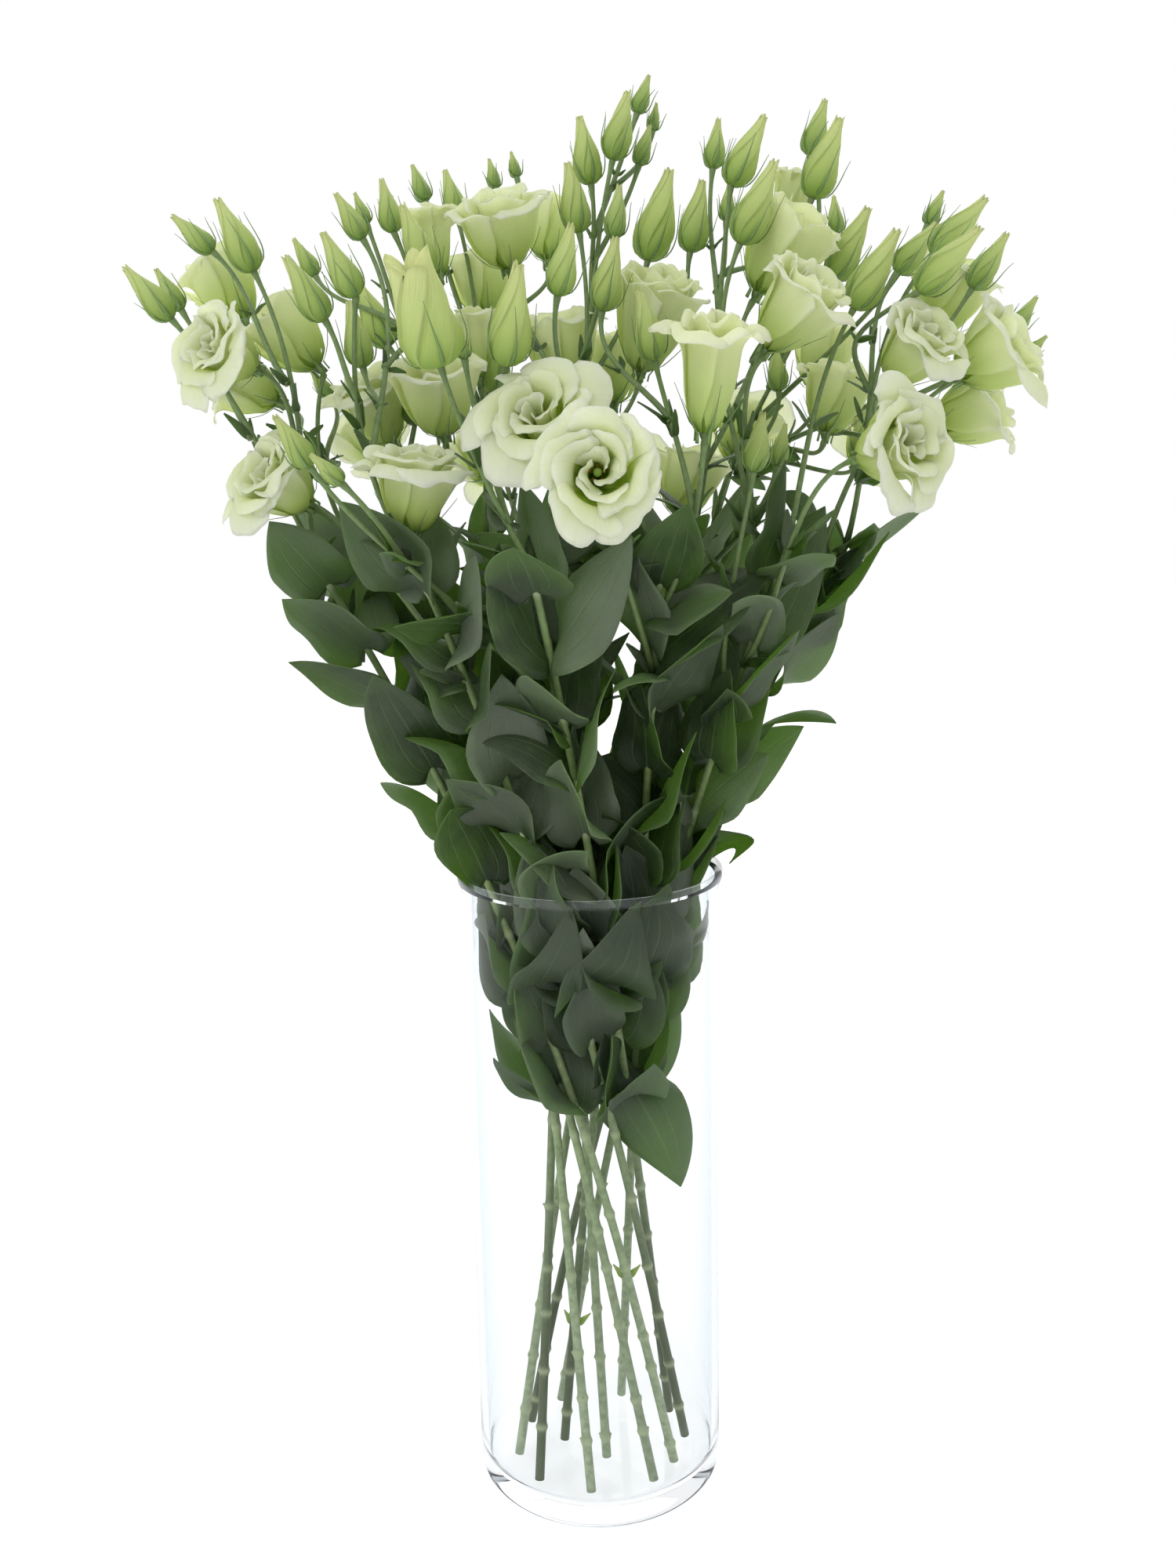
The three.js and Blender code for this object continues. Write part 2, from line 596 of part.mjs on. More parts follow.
stems.forEach((stem, index) => {
  for (let j = 0; j < LEAF_JOINTS; j++) {
    const share = FIRST_JOINT + ((LAST_JOINT - FIRST_JOINT) * j) / (LEAF_JOINTS - 1);
    const root = onTube(stem.main, MAIN, share);
    const pose = root.z > VASE_HEIGHT - BELOW_RIM ? OPEN_PAIR : HELD_PAIR;
    for (const opposite of [0, 1]) {
      const bearing = within([0, Math.PI], index, j, 1) + opposite * Math.PI;
      addLeaf(stem, root, stem.main.getTangent(share), bearing, {
        length: within(PAIR_LENGTH, index, j, 2 + opposite),
        width: within(PAIR_WIDTH, index, j, 4 + opposite),
        pitch: radians(within(pose.pitch, index, j, 6 + opposite)),
        arch: radians(within(pose.arch, index, j, 8 + opposite)),
        fold: within(PAIR_FOLD, index, j, 10 + opposite),
        stemRadius: MAIN.thick + (MAIN.thin - MAIN.thick) * share,
      });
    }
  }
});

// One leaf under each stalk that starts low enough, smaller towards the top.
const BARE_ABOVE = 610;
const LEAF_SHRINK = { top: 690, over: 200, least: 0.3, most: 0.85 };
const SINGLE_LENGTH = [44, 60];
const SINGLE_WIDTH = [28, 40];
const LEAST_WIDTH = 3;
const SINGLE_PITCH = [28, 48];
const SINGLE_ARCH = [0, 40];
const SINGLE_FOLD = [0.1, 0.35];

stems.forEach((stem, index) => {
  stem.branches.forEach(({ curve, shape }, b) => {
    const start = curve.getPoint(0);
    if (start.z > BARE_ABOVE) return;
    const fall = (LEAF_SHRINK.top - start.z) / LEAF_SHRINK.over;
    const size = THREE.MathUtils.clamp(fall, LEAF_SHRINK.least, LEAF_SHRINK.most);
    const away = curve.getPoint(0.5).sub(start);
    addLeaf(stem, start, curve.getTangent(0), Math.atan2(away.y, away.x), {
      length: size * within(SINGLE_LENGTH, index, b, 21),
      width: size * size * within(SINGLE_WIDTH, index, b, 22) + LEAST_WIDTH,
      pitch: radians(within(SINGLE_PITCH, index, b, 23)),
      arch: radians(within(SINGLE_ARCH, index, b, 24)),
      fold: within(SINGLE_FOLD, index, b, 25),
      stemRadius: shape.thick,
    });
  });
});

for (const stem of stems) addNode(stem.name, geometryOfSolid(fuse(stem.pieces)), leafGreen);

export default group;
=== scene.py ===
"""A bouquet of double lisianthus in a clear glass cylinder vase: fine petals, buds, leaves and stems."""

import math

import bpy
import numpy as np
from mathutils import Matrix, Vector
from mathutils.bvhtree import BVHTree
from mathutils.kdtree import KDTree


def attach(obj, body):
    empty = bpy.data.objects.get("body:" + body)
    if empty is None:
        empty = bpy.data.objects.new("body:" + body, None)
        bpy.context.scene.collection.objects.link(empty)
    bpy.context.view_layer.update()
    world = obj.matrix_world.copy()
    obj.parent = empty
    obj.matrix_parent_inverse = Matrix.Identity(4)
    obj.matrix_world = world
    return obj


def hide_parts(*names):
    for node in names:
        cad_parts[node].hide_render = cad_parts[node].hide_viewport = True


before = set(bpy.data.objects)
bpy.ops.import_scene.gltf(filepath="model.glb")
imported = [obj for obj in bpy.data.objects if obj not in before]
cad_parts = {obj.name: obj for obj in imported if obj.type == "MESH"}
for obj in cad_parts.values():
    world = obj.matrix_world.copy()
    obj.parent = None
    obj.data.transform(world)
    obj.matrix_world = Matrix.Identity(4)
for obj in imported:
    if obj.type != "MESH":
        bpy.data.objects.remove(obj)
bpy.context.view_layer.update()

MM = 0.001
X = np.array([1.0, 0.0, 0.0])
Z = np.array([0.0, 0.0, 1.0])

# Driving dimensions in millimetres, as in the solid model.
VASE_HEIGHT = 375
VASE_RADIUS = 72
VASE_WALL = 4
VASE_FLOOR = 13
VASE_HEEL = 14
LIP_RADIUS = 75
LIP_DROP = 16
FLOOR_FILLET = 14
FOOT_RADIUS = 2.7
CROWN_RADIUS = 1.9
CROWN_HEIGHT = 550
TWIG_RADIUS = 0.95
CALYX_LENGTH = 6
CALYX_RADIUS = 3.4
GAP = 0.3
MAIN = {"steps": 9, "sides": 5, "thick": FOOT_RADIUS, "thin": CROWN_RADIUS}
STALK = {"steps": 2, "sides": 4, "thin": TWIG_RADIUS}
VIEWPOINT = np.array([0.0, -900.0, 607.0])
DEPTH_SHIFTS = [0, 0.012, -0.012, 0.024, -0.024, 0.036, -0.036, 0.05, -0.05, 0.07, -0.07, 0.09]


def bud(x, y, z, lean, length, girth=0.48):
    return {"x": x, "y": y, "z": z, "lean": lean, "length": length, "girth": girth, "width": 0}


def bloom(x, y, z, lean, tilt, width, depth):
    return {"x": x, "y": y, "z": z, "lean": lean, "tilt": tilt, "width": width, "depth": depth}


# Each stem: bearing, crown's and foot's reach, how far beside the axis it passes, and its heads.
STEMS = [
    (183, 142, 42, 24, [
        bud(-170, 0, 700, -25, 39), bloom(-176, -60, 656, -60, 45, 52, 34), bud(-194, 15, 712, -48, 27),
        bud(-210, -20, 675, -40, 33), bud(-212, 12, 682, -30, 24), bloom(-195, 50, 695, -30, -15, 38, 34),
        bloom(-180, 20, 642, -60, 10, 34, 30)]),
    (212, 112, 46, 24, [
        bud(-108, -70, 680, -25, 32), bud(-125, -60, 670, -30, 34), bud(-112, 0, 715, -30, 26),
        bloom(-153, -60, 592, -50, 35, 60, 36), bud(-115, 0, 650, -10, 34), bud(-80, 20, 698, -20, 38)]),
    (156, 112, 44, 24, [
        bud(-100, 40, 723, -12, 28), bud(-117, 60, 730, -20, 18), bud(-150, 80, 705, -30, 24),
        bloom(-157, 30, 668, -40, 0, 36, 36), bud(-108, 60, 664, -25, 40), bud(-142, 60, 637, -35, 19),
        bloom(-114, 40, 632, -20, 15, 48, 40), bloom(-78, 30, 636, -5, 15, 44, 40),
        bloom(-125, 125, 610, -40, -50, 54, 38)]),
    (242, 100, 48, 24, [
        bud(-65, -110, 645, -15, 45, 0.8), bloom(-82, -80, 590, 5, 8, 62, 42), bud(-57, -60, 650, -7, 14),
        bud(-128, -110, 600, -30, 28), bud(-112, -120, 592, -43, 20), bud(-35, -100, 645, 10, 46)]),
    (282, 72, 46, 24, [
        bud(-10, -90, 677, 13, 32), bloom(-19, -110, 618, -20, 50, 68, 38),
        bloom(7, -140, 595, 10, 82, 74, 38), bloom(62, -90, 640, 4, 12, 42, 50), bud(37, -60, 648, -13, 33),
        bud(12, -20, 675, 12, 36)]),
    (112, 92, 44, 24, [
        bud(-69, 100, 737, -14, 29), bud(-89, 120, 750, -20, 23), bud(-36, 150, 767, -12, 16),
        bud(-48, 130, 758, -12, 18), bloom(-57, 110, 700, -10, -15, 32, 34),
        bloom(-80, 70, 722, -5, -10, 28, 34), bloom(-17, 130, 733, 0, -15, 30, 32),
        bloom(-60, 150, 600, -15, -60, 58, 38)]),
    (135, 24, 14, 9, [
        bud(1, 30, 720, -9, 36), bloom(-41, 30, 722, -10, 20, 42, 36), bud(19, 0, 713, 7, 26),
        bud(-50, 60, 638, 0, 46), bloom(-61, 60, 665, -10, 0, 28, 34), bloom(-10, 60, 660, -10, 0, 40, 38),
        bloom(38, -10, 672, 12, 18, 50, 52)]),
    (74, 60, 46, 24, [
        bud(20, 50, 760, 14, 36), bud(8, 60, 749, -9, 36), bud(35, 90, 791, 19, 22),
        bud(35, 70, 760, 17, 22), bud(44, 100, 783, 10, 16), bud(39, 60, 708, 15, 50),
        bloom(21, 90, 650, 5, -10, 32, 34), bloom(30, 165, 590, 5, -65, 62, 38)]),
    (326, 110, 46, 24, [
        bud(83, -20, 707, 24, 42), bloom(104, -20, 703, 30, 10, 38, 42),
        bloom(107, -60, 672, 35, 22, 50, 44), bud(140, -30, 673, 29, 42),
        bloom(148, -110, 604, 70, 50, 64, 38), bud(86, -60, 593, 8, 29)]),
    (18, 66, 20, 9, [
        bud(82, 20, 741, 27, 38), bud(77, 80, 759, 8, 27), bud(62, 50, 711, 11, 38),
        bud(83, 60, 728, 5, 20), bloom(117, 60, 736, 20, -5, 28, 34), bud(125, 20, 734, 20, 42),
        bud(129, 60, 762, 17, 30), bud(135, 10, 691, 27, 40), bud(107, 20, 594, 12, 23),
        bloom(60, 50, 585, 15, -10, 34, 34)]),
    (42, 125, 44, 24, [
        bud(152, 110, 726, -3, 22), bud(142, 120, 714, -4, 18), bloom(206, 60, 685, 20, 0, 44, 38),
        bud(195, 60, 724, 26, 20), bloom(143, 100, 654, 10, -15, 32, 34),
        bloom(144, 60, 630, 15, -10, 34, 34), bloom(218, 40, 622, 65, 15, 46, 36),
        bud(115, 80, 636, -4, 27), bloom(100, 150, 610, 25, -55, 56, 38),
        bloom(175, 110, 605, 45, -45, 54, 38)]),
    (2, 148, 42, 24, [
        bud(182, -20, 699, 43, 37), bud(171, 20, 695, 40, 32), bud(169, -50, 679, 44, 40),
        bud(214, 30, 687, 33, 33), bloom(214, -20, 650, 55, 20, 44, 36), bud(236, 30, 663, 36, 23),
        bud(251, 60, 651, 48, 18), bloom(168, -50, 652, 35, 35, 50, 38)]),
]


# A repeatable number from 0 to 1 for three whole-number keys, mixed bit by bit.
KEY_STEPS = (7919, 104729, 15485863)
KEY_START = 0x6D2B79F5
WORD = 0xFFFFFFFF


def chance(a, b, c):
    t = (sum(key * step for key, step in zip((a, b, c), KEY_STEPS)) + KEY_START) & WORD
    t = ((t ^ (t >> 15)) * (t | 1)) & WORD
    t ^= (t + (((t ^ (t >> 7)) * (t | 61)) & WORD)) & WORD
    return ((t ^ (t >> 14)) & WORD) / (WORD + 1)


def within(bounds, a, b, c):
    return bounds[0] + (bounds[1] - bounds[0]) * chance(a, b, c)


def unit(v):
    return v / np.linalg.norm(v)


def square_to(axis, near):
    """Two directions square to an axis, the first as near as it can be to a given one."""
    first = unit(near - axis * near.dot(axis))
    return first, np.cross(axis, first)


def facing(axis, bearing):
    """The direction square to an axis that comes nearest to a bearing."""
    return square_to(axis, np.array([math.cos(bearing), math.sin(bearing), 0.0]))[0]


def ring(centre, axis, near, radius, sides, turn=0.0):
    first, second = square_to(axis, near)
    angles = turn + np.arange(sides) * 2 * math.pi / sides
    return centre + radius * (np.cos(angles)[:, None] * first + np.sin(angles)[:, None] * second)


class Curve:
    """A cubic curve through two ends, steered by two more points."""

    def __init__(self, a, b, c, d):
        self.ends = np.array([a, b, c, d], float)

    def point(self, t):
        s = 1 - t
        return np.array([s ** 3, 3 * s * s * t, 3 * s * t * t, t ** 3]) @ self.ends

    def tangent(self, t):
        step = 1e-4
        return unit(self.point(min(t + step, 1)) - self.point(max(t - step, 0)))


def girth_at(shape, share):
    """A tube's radius at a share of its length."""
    return shape["thick"] + (shape["thin"] - shape["thick"]) * share


def on_tube(curve, shape, share):
    """The middle of a tube of straight stretches at a share of its curve."""
    steps = shape["steps"]
    step = min(int(share * steps), steps - 1)
    low, high = curve.point(step / steps), curve.point((step + 1) / steps)
    return low + (high - low) * (share * steps - step)


def tube_rings(curve, shape):
    near = X
    rings = []
    for k in range(shape["steps"], -1, -1):
        share = k / shape["steps"]
        axis = curve.tangent(share)
        near = square_to(axis, near)[0]
        rings.insert(0, ring(curve.point(share), axis, near, girth_at(shape, share), shape["sides"]))
    return rings


# The solids' corners and faces, in millimetres.
def corners_of(node):
    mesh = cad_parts[node].data
    points = np.empty(len(mesh.vertices) * 3)
    mesh.vertices.foreach_get("co", points)
    return points.reshape(-1, 3) / MM


def tree_of(node):
    points = corners_of(node)
    tree = KDTree(len(points))
    for i, point in enumerate(points):
        tree.insert(point, i)
    tree.balance()
    return tree


def surface_of(node):
    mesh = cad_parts[node].data
    return BVHTree.FromPolygons(corners_of(node).tolist(), [tuple(p.vertices) for p in mesh.polygons])


def misfit(tree, points):
    """How far points are from the nearest corners of a solid, or from its surface, on average."""
    find = tree.find if isinstance(tree, KDTree) else tree.find_nearest
    return sum(find(p)[-1] for p in points) / len(points)


# Which of its possible places each head took, read from the solids.
BUD_OUTWARD = 0.8
BLOOM_MIDDLE = 0.55
HEART_RISE = 0.9


def direction_of(head):
    lean = math.radians(head["lean"])
    outward = -BUD_OUTWARD * math.atan2(head["y"], head["z"] - VASE_HEIGHT)
    tilt = math.radians(head["tilt"]) if head["width"] else outward
    return np.array([math.sin(lean) * math.cos(tilt), -math.sin(tilt), math.cos(lean) * math.cos(tilt)])


def seat_of(head, shift):
    place = (np.array([head["x"], head["y"], head["z"]]) - VIEWPOINT) * (1 + shift) + VIEWPOINT
    if not head["width"]:
        return place
    return place - direction_of(head) * (BLOOM_MIDDLE * head["depth"] + CALYX_LENGTH)


def top_of(head, shift):
    seat, axis = seat_of(head, shift), direction_of(head)
    if head["width"]:
        return seat + axis * (CALYX_LENGTH + GAP + head["depth"] * HEART_RISE)
    return seat + axis * head["length"]


# Where each stalk starts, and how it bows.
MAIN_FORKS = [1, 0.95, 0.9, 0.85, 0.8, 0.75]
BRANCH_FORKS = [0.22, 0.4, 0.6]
SHORTEST_STALK = 38
LONGEST_STALK = 345
EASY_FORK = math.radians(38)
TAKEN_WITHIN = 14
TAKEN_COST = 1.7
MOST_FORKS = 14
FORK_THINNING = 0.68
FORK_SPREAD = 0.5
RISE_SHARE = 0.36
REACH_SHARE = 0.34
LOW_BEND = (170, 0.25)
HIGH_BEND = (350, 0.2)
BOWS = [np.zeros(3)] + [
    size * np.array([math.cos(math.radians(b)), math.sin(math.radians(b)), 0.0])
    for size in (0.11, 0.2, 0.3) for b in (0, 90, 180, 270, 45, 135, 225, 315)]


def main_curve(bearing, crown, foot, beside):
    outward = facing(Z, math.radians(bearing))
    sideways = np.cross(Z, outward)

    def at(out, height):
        return outward * out + sideways * beside + Z * height

    return Curve(at(-foot, VASE_FLOOR + FOOT_RADIUS), at(-foot * LOW_BEND[1], LOW_BEND[0]),
                 at(crown * HIGH_BEND[1], HIGH_BEND[0]), at(crown, CROWN_HEIGHT))


def forks_for(seat, main, branches):
    forks = []
    for curve, shape, shares in [(main, MAIN, MAIN_FORKS)] + [(c, s, BRANCH_FORKS) for c, s in branches]:
        for share in shares:
            start, axis = on_tube(curve, shape, share), curve.tangent(share)
            reach = seat - start
            length = np.linalg.norm(reach)
            if not SHORTEST_STALK <= length <= LONGEST_STALK:
                continue
            bend = math.acos(np.clip(unit(reach).dot(axis), -1, 1)) / EASY_FORK
            taken = any(np.linalg.norm(c.point(0) - start) < TAKEN_WITHIN for c, _ in branches)
            cost = length * (1 + bend ** 3) * (TAKEN_COST if taken else 1)
            radius = FORK_THINNING * girth_at(shape, share)
            forks.append((cost, len(forks), start, axis, reach, length, radius))
    return sorted(forks, key=lambda f: f[:2])[:MOST_FORKS]


def stalk_curve(fork, seat, axis, bow):
    _, _, start, fork_axis, reach, length, _ = fork
    shift = bow * length
    rise = unit(fork_axis + FORK_SPREAD * square_to(fork_axis, reach)[0])
    return Curve(start, start + rise * length * RISE_SHARE + shift,
                 seat - axis * length * REACH_SHARE + shift, seat)


def find_stalk(head, main, branches, surface):
    """The fork and bow whose tube lies best on the solid's surface."""
    best = None
    for fork in forks_for(head["seat"], main, branches):
        for bow in BOWS:
            curve = stalk_curve(fork, head["seat"], head["axis"], bow)
            shape = {**STALK, "thick": fork[6]}
            rings = tube_rings(curve, shape)
            probes = np.concatenate([(rings[0] + 2 * rings[1]) / 3, rings[1], (rings[1] + rings[2]) / 2])
            off = misfit(surface, probes)
            if best is None or off < best[0]:
                best = (off, curve, shape)
    return best


# Which turn and lift each leaf took. Lengths and widths are ranges in millimetres, angles in degrees.
LEAF_JOINTS = 6
FIRST_JOINT = 0.42
LAST_JOINT = 0.98
BELOW_RIM = 15
PAIR = {"length": (50, 66), "width": (30, 40), "fold": (0.12, 0.4)}
OPEN_PAIR = {"pitch": (26, 50), "arch": (-10, 60)}
HELD_PAIR = {"pitch": (16, 30), "arch": (-20, 10)}
BARE_ABOVE = 610
LEAF_SHRINK = {"top": 690, "over": 200, "least": 0.3, "most": 0.85}
SINGLE = {"length": (44, 60), "width": (28, 40), "pitch": (28, 48), "arch": (0, 40), "fold": (0.1, 0.35)}
LEAST_WIDTH = 3
LEAF_TURNS = (0, 18, -18, 36, -36, 54, -54)
LEAF_LIFTS = (0, -12, 12, -22, 24)
LEAF_DRAWS = ("length", "width", "pitch", "arch", "fold")
ROOT_DEPTH = 0.72
ARC_STEPS = 8
LEAF_FOUND = 0.15


def joint_share(joint):
    return FIRST_JOINT + (LAST_JOINT - FIRST_JOINT) * joint / (LEAF_JOINTS - 1)


def drawn(ranges, a, b, first, step=2):
    """A leaf's measures, each drawn from its range with a key of its own."""
    return {name: within(ranges[name], a, b, first + step * k) for k, name in enumerate(LEAF_DRAWS)}


def leaf_at(joint, axis, outward, depth, size):
    """A leaf that grows from beside a joint's middle, with its size as drawn."""
    return {**size, "pitch": math.radians(size["pitch"]), "arch": math.radians(size["arch"]), "axis": axis,
            "outward": outward, "side": unit(np.cross(axis, outward)), "root": joint + outward * depth}


def leaf_frame(leaf, share):
    """The way on, and the way up, at a share of a leaf's length."""
    angle = leaf["pitch"] + leaf["arch"] * share
    forward = leaf["axis"] * math.cos(angle) + leaf["outward"] * math.sin(angle)
    return forward, np.cross(leaf["side"], forward)


def leaf_point(leaf, share):
    spot = leaf["root"]
    for k in range(ARC_STEPS):
        spot = spot + leaf_frame(leaf, share * (k + 0.5) / ARC_STEPS)[0] * leaf["length"] * share / ARC_STEPS
    return spot


def find_leaf(size, joint, axis, bearing, radius, tree):
    """The turn and lift that bring the leaf's tip to a corner of the solid, if any does."""
    best = None
    for turn in LEAF_TURNS:
        outward = facing(axis, bearing + math.radians(turn))
        for lift in LEAF_LIFTS:
            pitched = {**size, "pitch": size["pitch"] + lift}
            tried = leaf_at(joint, axis, outward, ROOT_DEPTH * radius, pitched)
            off = misfit(tree, [leaf_point(tried, 1)])
            if best is None or off < best[0]:
                best = (off, tried)
    return best[1] if best[0] < LEAF_FOUND else None


def read_leaves(index, main, branches, tree):
    """Pairs of leaves at a stem's joints, and single ones where its stalks start."""
    leaves = []
    for j in range(LEAF_JOINTS):
        share = joint_share(j)
        joint, axis = on_tube(main, MAIN, share), main.tangent(share)
        pose = OPEN_PAIR if joint[2] > VASE_HEIGHT - BELOW_RIM else HELD_PAIR
        for opposite in (0, 1):
            size = drawn({**PAIR, **pose}, index, j, 2 + opposite)
            bearing = within((0, math.pi), index, j, 1) + opposite * math.pi
            leaves.append(find_leaf(size, joint, axis, bearing, girth_at(MAIN, share), tree))
    for b, (curve, shape) in enumerate(branches):
        start = curve.point(0)
        if start[2] > BARE_ABOVE:
            continue
        shrink = np.clip((LEAF_SHRINK["top"] - start[2]) / LEAF_SHRINK["over"],
                         LEAF_SHRINK["least"], LEAF_SHRINK["most"])
        size = drawn(SINGLE, index, b, 21, 1)
        size["length"] *= shrink
        size["width"] = size["width"] * shrink ** 2 + LEAST_WIDTH
        away = curve.point(0.5) - start
        bearing = math.atan2(away[1], away[0])
        leaves.append(find_leaf(size, start, curve.tangent(0), bearing, shape["thick"], tree))
    return [leaf for leaf in leaves if leaf]


MATCH_WITHIN = 0.5


def read_bouquet():
    stems, bloom_count, worst = [], 0, 0
    for index, (bearing, crown, foot, beside, heads) in enumerate(STEMS):
        name = f"stem_{index + 1:02d}"
        tree, surface = tree_of(name), surface_of(name)
        main, branches = main_curve(bearing, crown, foot, beside), []
        for head in heads:
            own = tree
            head["axis"] = direction_of(head)
            if head["width"]:
                bloom_count += 1
                head["node"] = f"bloom_{bloom_count:02d}"
                own = tree_of(head["node"])
            shift = min(DEPTH_SHIFTS, key=lambda s: own.find(top_of(head, s))[-1])
            worst = max(worst, own.find(top_of(head, shift))[-1])
            head["seat"] = seat_of(head, shift)
        for head in heads:
            off, curve, shape = find_stalk(head, main, branches, surface)
            worst = max(worst, off)
            branches.append((curve, shape))
        leaves = read_leaves(index, main, branches, tree)
        stems.append({"name": name, "main": main, "branches": branches, "heads": heads, "leaves": leaves})
    if worst > MATCH_WITHIN:
        raise RuntimeError("a head or a stalk isn't where the solids have it")
    return stems


# Building meshes. Each point carries three numbers for its material: along, across and tone.
class Build:
    def __init__(self):
        self.points, self.looks, self.faces, self.kinds = [], [], [], []
        self.count = 0

    def add(self, points, faces, looks, kind=0):
        points = np.asarray(points, float).reshape(-1, 3)
        self.points.append(points)
        self.looks.append(np.broadcast_to(np.asarray(looks, float), (len(points), 3)))
        self.faces += [[i + self.count for i in face] for face in faces]
        self.kinds += [kind] * len(faces)
        self.count += len(points)

    def piece(self, name, materials, slot, node):
        mesh = bpy.data.meshes.new(name)
        mesh.from_pydata((np.concatenate(self.points) * MM).tolist(), [], self.faces)
        looks = np.concatenate(self.looks).astype(np.float32)
        for column, attribute in enumerate(("along", "across", "tone")):
            layer = mesh.attributes.new(attribute, "FLOAT", "POINT")
            layer.data.foreach_set("value", looks[:, column].copy())
        for material in materials:
            mesh.materials.append(material)
        mesh.polygons.foreach_set("material_index", self.kinds)
        mesh.polygons.foreach_set("use_smooth", [True] * len(self.faces))
        mesh.update()
        piece = bpy.data.objects.new(name, mesh)
        bpy.context.scene.collection.objects.link(piece)
        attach(piece, "root")
        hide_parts(node)
        return piece


def looks_of(shape, along, across, tone):
    return np.stack([np.broadcast_to(look, shape) for look in (along, across, tone)], -1).reshape(-1, 3)


def add_tube(build, rings, looks, kind=0):
    """A closed tube through rings of points, with flat ends."""
    rings = np.asarray(rings)
    at = np.arange(rings.shape[0] * rings.shape[1]).reshape(rings.shape[:2])
    ahead = np.roll(at, -1, axis=1)
    sides = np.stack([at[:-1], ahead[:-1], ahead[1:], at[1:]], -1).reshape(-1, 4)
    build.add(rings, [at[0, ::-1].tolist(), at[-1].tolist()] + sides.tolist(), looks, kind)


def add_sheet(build, grid, thick, looks):
    """A thin closed blade round a grid of points, as thick as given at each of them."""
    square = np.cross(np.gradient(grid, axis=0), np.gradient(grid, axis=1))
    square = square / np.maximum(np.linalg.norm(square, axis=2, keepdims=True), 1e-9)
    half = square * (thick / 2)[..., None]
    many = grid.shape[0] * grid.shape[1]
    at = np.arange(many).reshape(grid.shape[:2])
    a, b, c, d = at[:-1, :-1], at[1:, :-1], at[1:, 1:], at[:-1, 1:]
    blade = np.stack([a, b, c, d, many + a, many + d, many + c, many + b], -1).reshape(-1, 4)
    edge = np.concatenate([at[:, 0], at[-1, 1:], at[-2::-1, -1], at[0, -2:0:-1]])
    ahead = np.roll(edge, -1)
    faces = np.concatenate([blade, np.stack([edge, many + edge, many + ahead, ahead], -1)])
    build.add([grid + half, grid - half], faces.tolist(), np.tile(looks, (2, 1)))


def smooth(low, high, t):
    t = np.clip((t - low) / (high - low), 0, 1)
    return t * t * (3 - 2 * t)


def rings_along(curve, shares, radii, sides):
    """Rings round a curve with little twist from one to the next, and the heading of the last one."""
    near, rings = X, []
    for share, radius in zip(shares, radii):
        axis = curve.tangent(share)
        near = square_to(axis, near)[0]
        rings.append(ring(curve.point(share), axis, near, radius, sides))
    return rings, near


def round_axis(base, axis, rise, out, angle):
    """Points round an axis, each so far up it, so far out from it and at such an angle."""
    first, second = square_to(axis, X)
    return base + rise[..., None] * axis + (out * np.cos(angle))[..., None] * first \
        + (out * np.sin(angle))[..., None] * second


def spoke(axis, angle):
    first, second = square_to(axis, X)
    return math.cos(angle) * first + math.sin(angle) * second


# Stems: a round tube with swollen joints, and short stubs where the lowest leaves were taken off.
STEM_SIDES = 14
STEM_ROWS = 46
LENGTH_STEPS = 20
BARE_JOINTS = (0.045, 0.115, 0.185, 0.255, 0.33)
JOINT_DRIFT = (-0.02, 0.02)
BARE_SWELL = 0.34
LEAFY_SWELL = 0.238
JOINT_LENGTH = 2.2
JOINT_ROWS = (-6, -3.6, -2.2, -1.1, 0, 1.1, 2.2, 3.6, 6)
ROOT_OUT = 1.6
STUB_LENGTH = (0.6, 2.6)
STUB_RISE = (0.3, 1.2)
STUB_SIDES = 8
STUB = ((0, 1.2, 0), (0.35, 1.15, 0.2), (0.6, 0.85, 0.3), (1, 0.55, 0.4))


def bare_joints(index):
    return [share + within(JOINT_DRIFT, index, k, 41) for k, share in enumerate(BARE_JOINTS)]


def build_main(build, index, main):
    length = sum(np.linalg.norm(main.point((k + 1) / LENGTH_STEPS) - main.point(k / LENGTH_STEPS))
                 for k in range(LENGTH_STEPS))
    bare = bare_joints(index)
    joints = bare + [joint_share(j) for j in range(LEAF_JOINTS)]
    shares = {joint + off / length for joint in joints for off in JOINT_ROWS}
    shares |= set(np.linspace(0, 1, STEM_ROWS))
    shares = np.array(sorted(share for share in shares if 0 <= share <= 1))
    radii = girth_at(MAIN, shares)
    for k, joint in enumerate(joints):
        swell = BARE_SWELL if k < len(bare) else LEAFY_SWELL
        radii = radii * (1 + swell * np.exp(-((shares - joint) * length / JOINT_LENGTH) ** 2))
    rings, _ = rings_along(main, shares, radii, STEM_SIDES)
    heights = np.array([r[0][2] for r in rings]) / CROWN_HEIGHT
    away = np.min([np.abs(shares - joint) * length for joint in joints], axis=0)
    knots = np.exp(-(away / JOINT_LENGTH) ** 2)
    add_tube(build, rings, looks_of((len(shares), STEM_SIDES), heights[:, None], knots[:, None],
                                    chance(index, 3, 42)))
    for k, joint in enumerate(bare):
        build_stubs(build, index, k, main, joint)


def build_stubs(build, index, k, main, joint):
    """Two stubs of a taken leaf pair, across the stem from each other."""
    centre, axis = main.point(joint), main.tangent(joint)
    turn = within((0, math.pi), index, k, 43)
    for side in (0, 1):
        outward = facing(axis, turn + side * math.pi)
        way = unit(outward + axis * within(STUB_RISE, index, k, 46 + side))
        root, reach = centre + outward * ROOT_OUT, way * within(STUB_LENGTH, index, k, 44 + side)
        rings = [ring(root + reach * share, way, X, radius, STUB_SIDES) + outward * out
                 for share, radius, out in STUB]
        add_tube(build, rings, (joint, 0.9, 0.5))


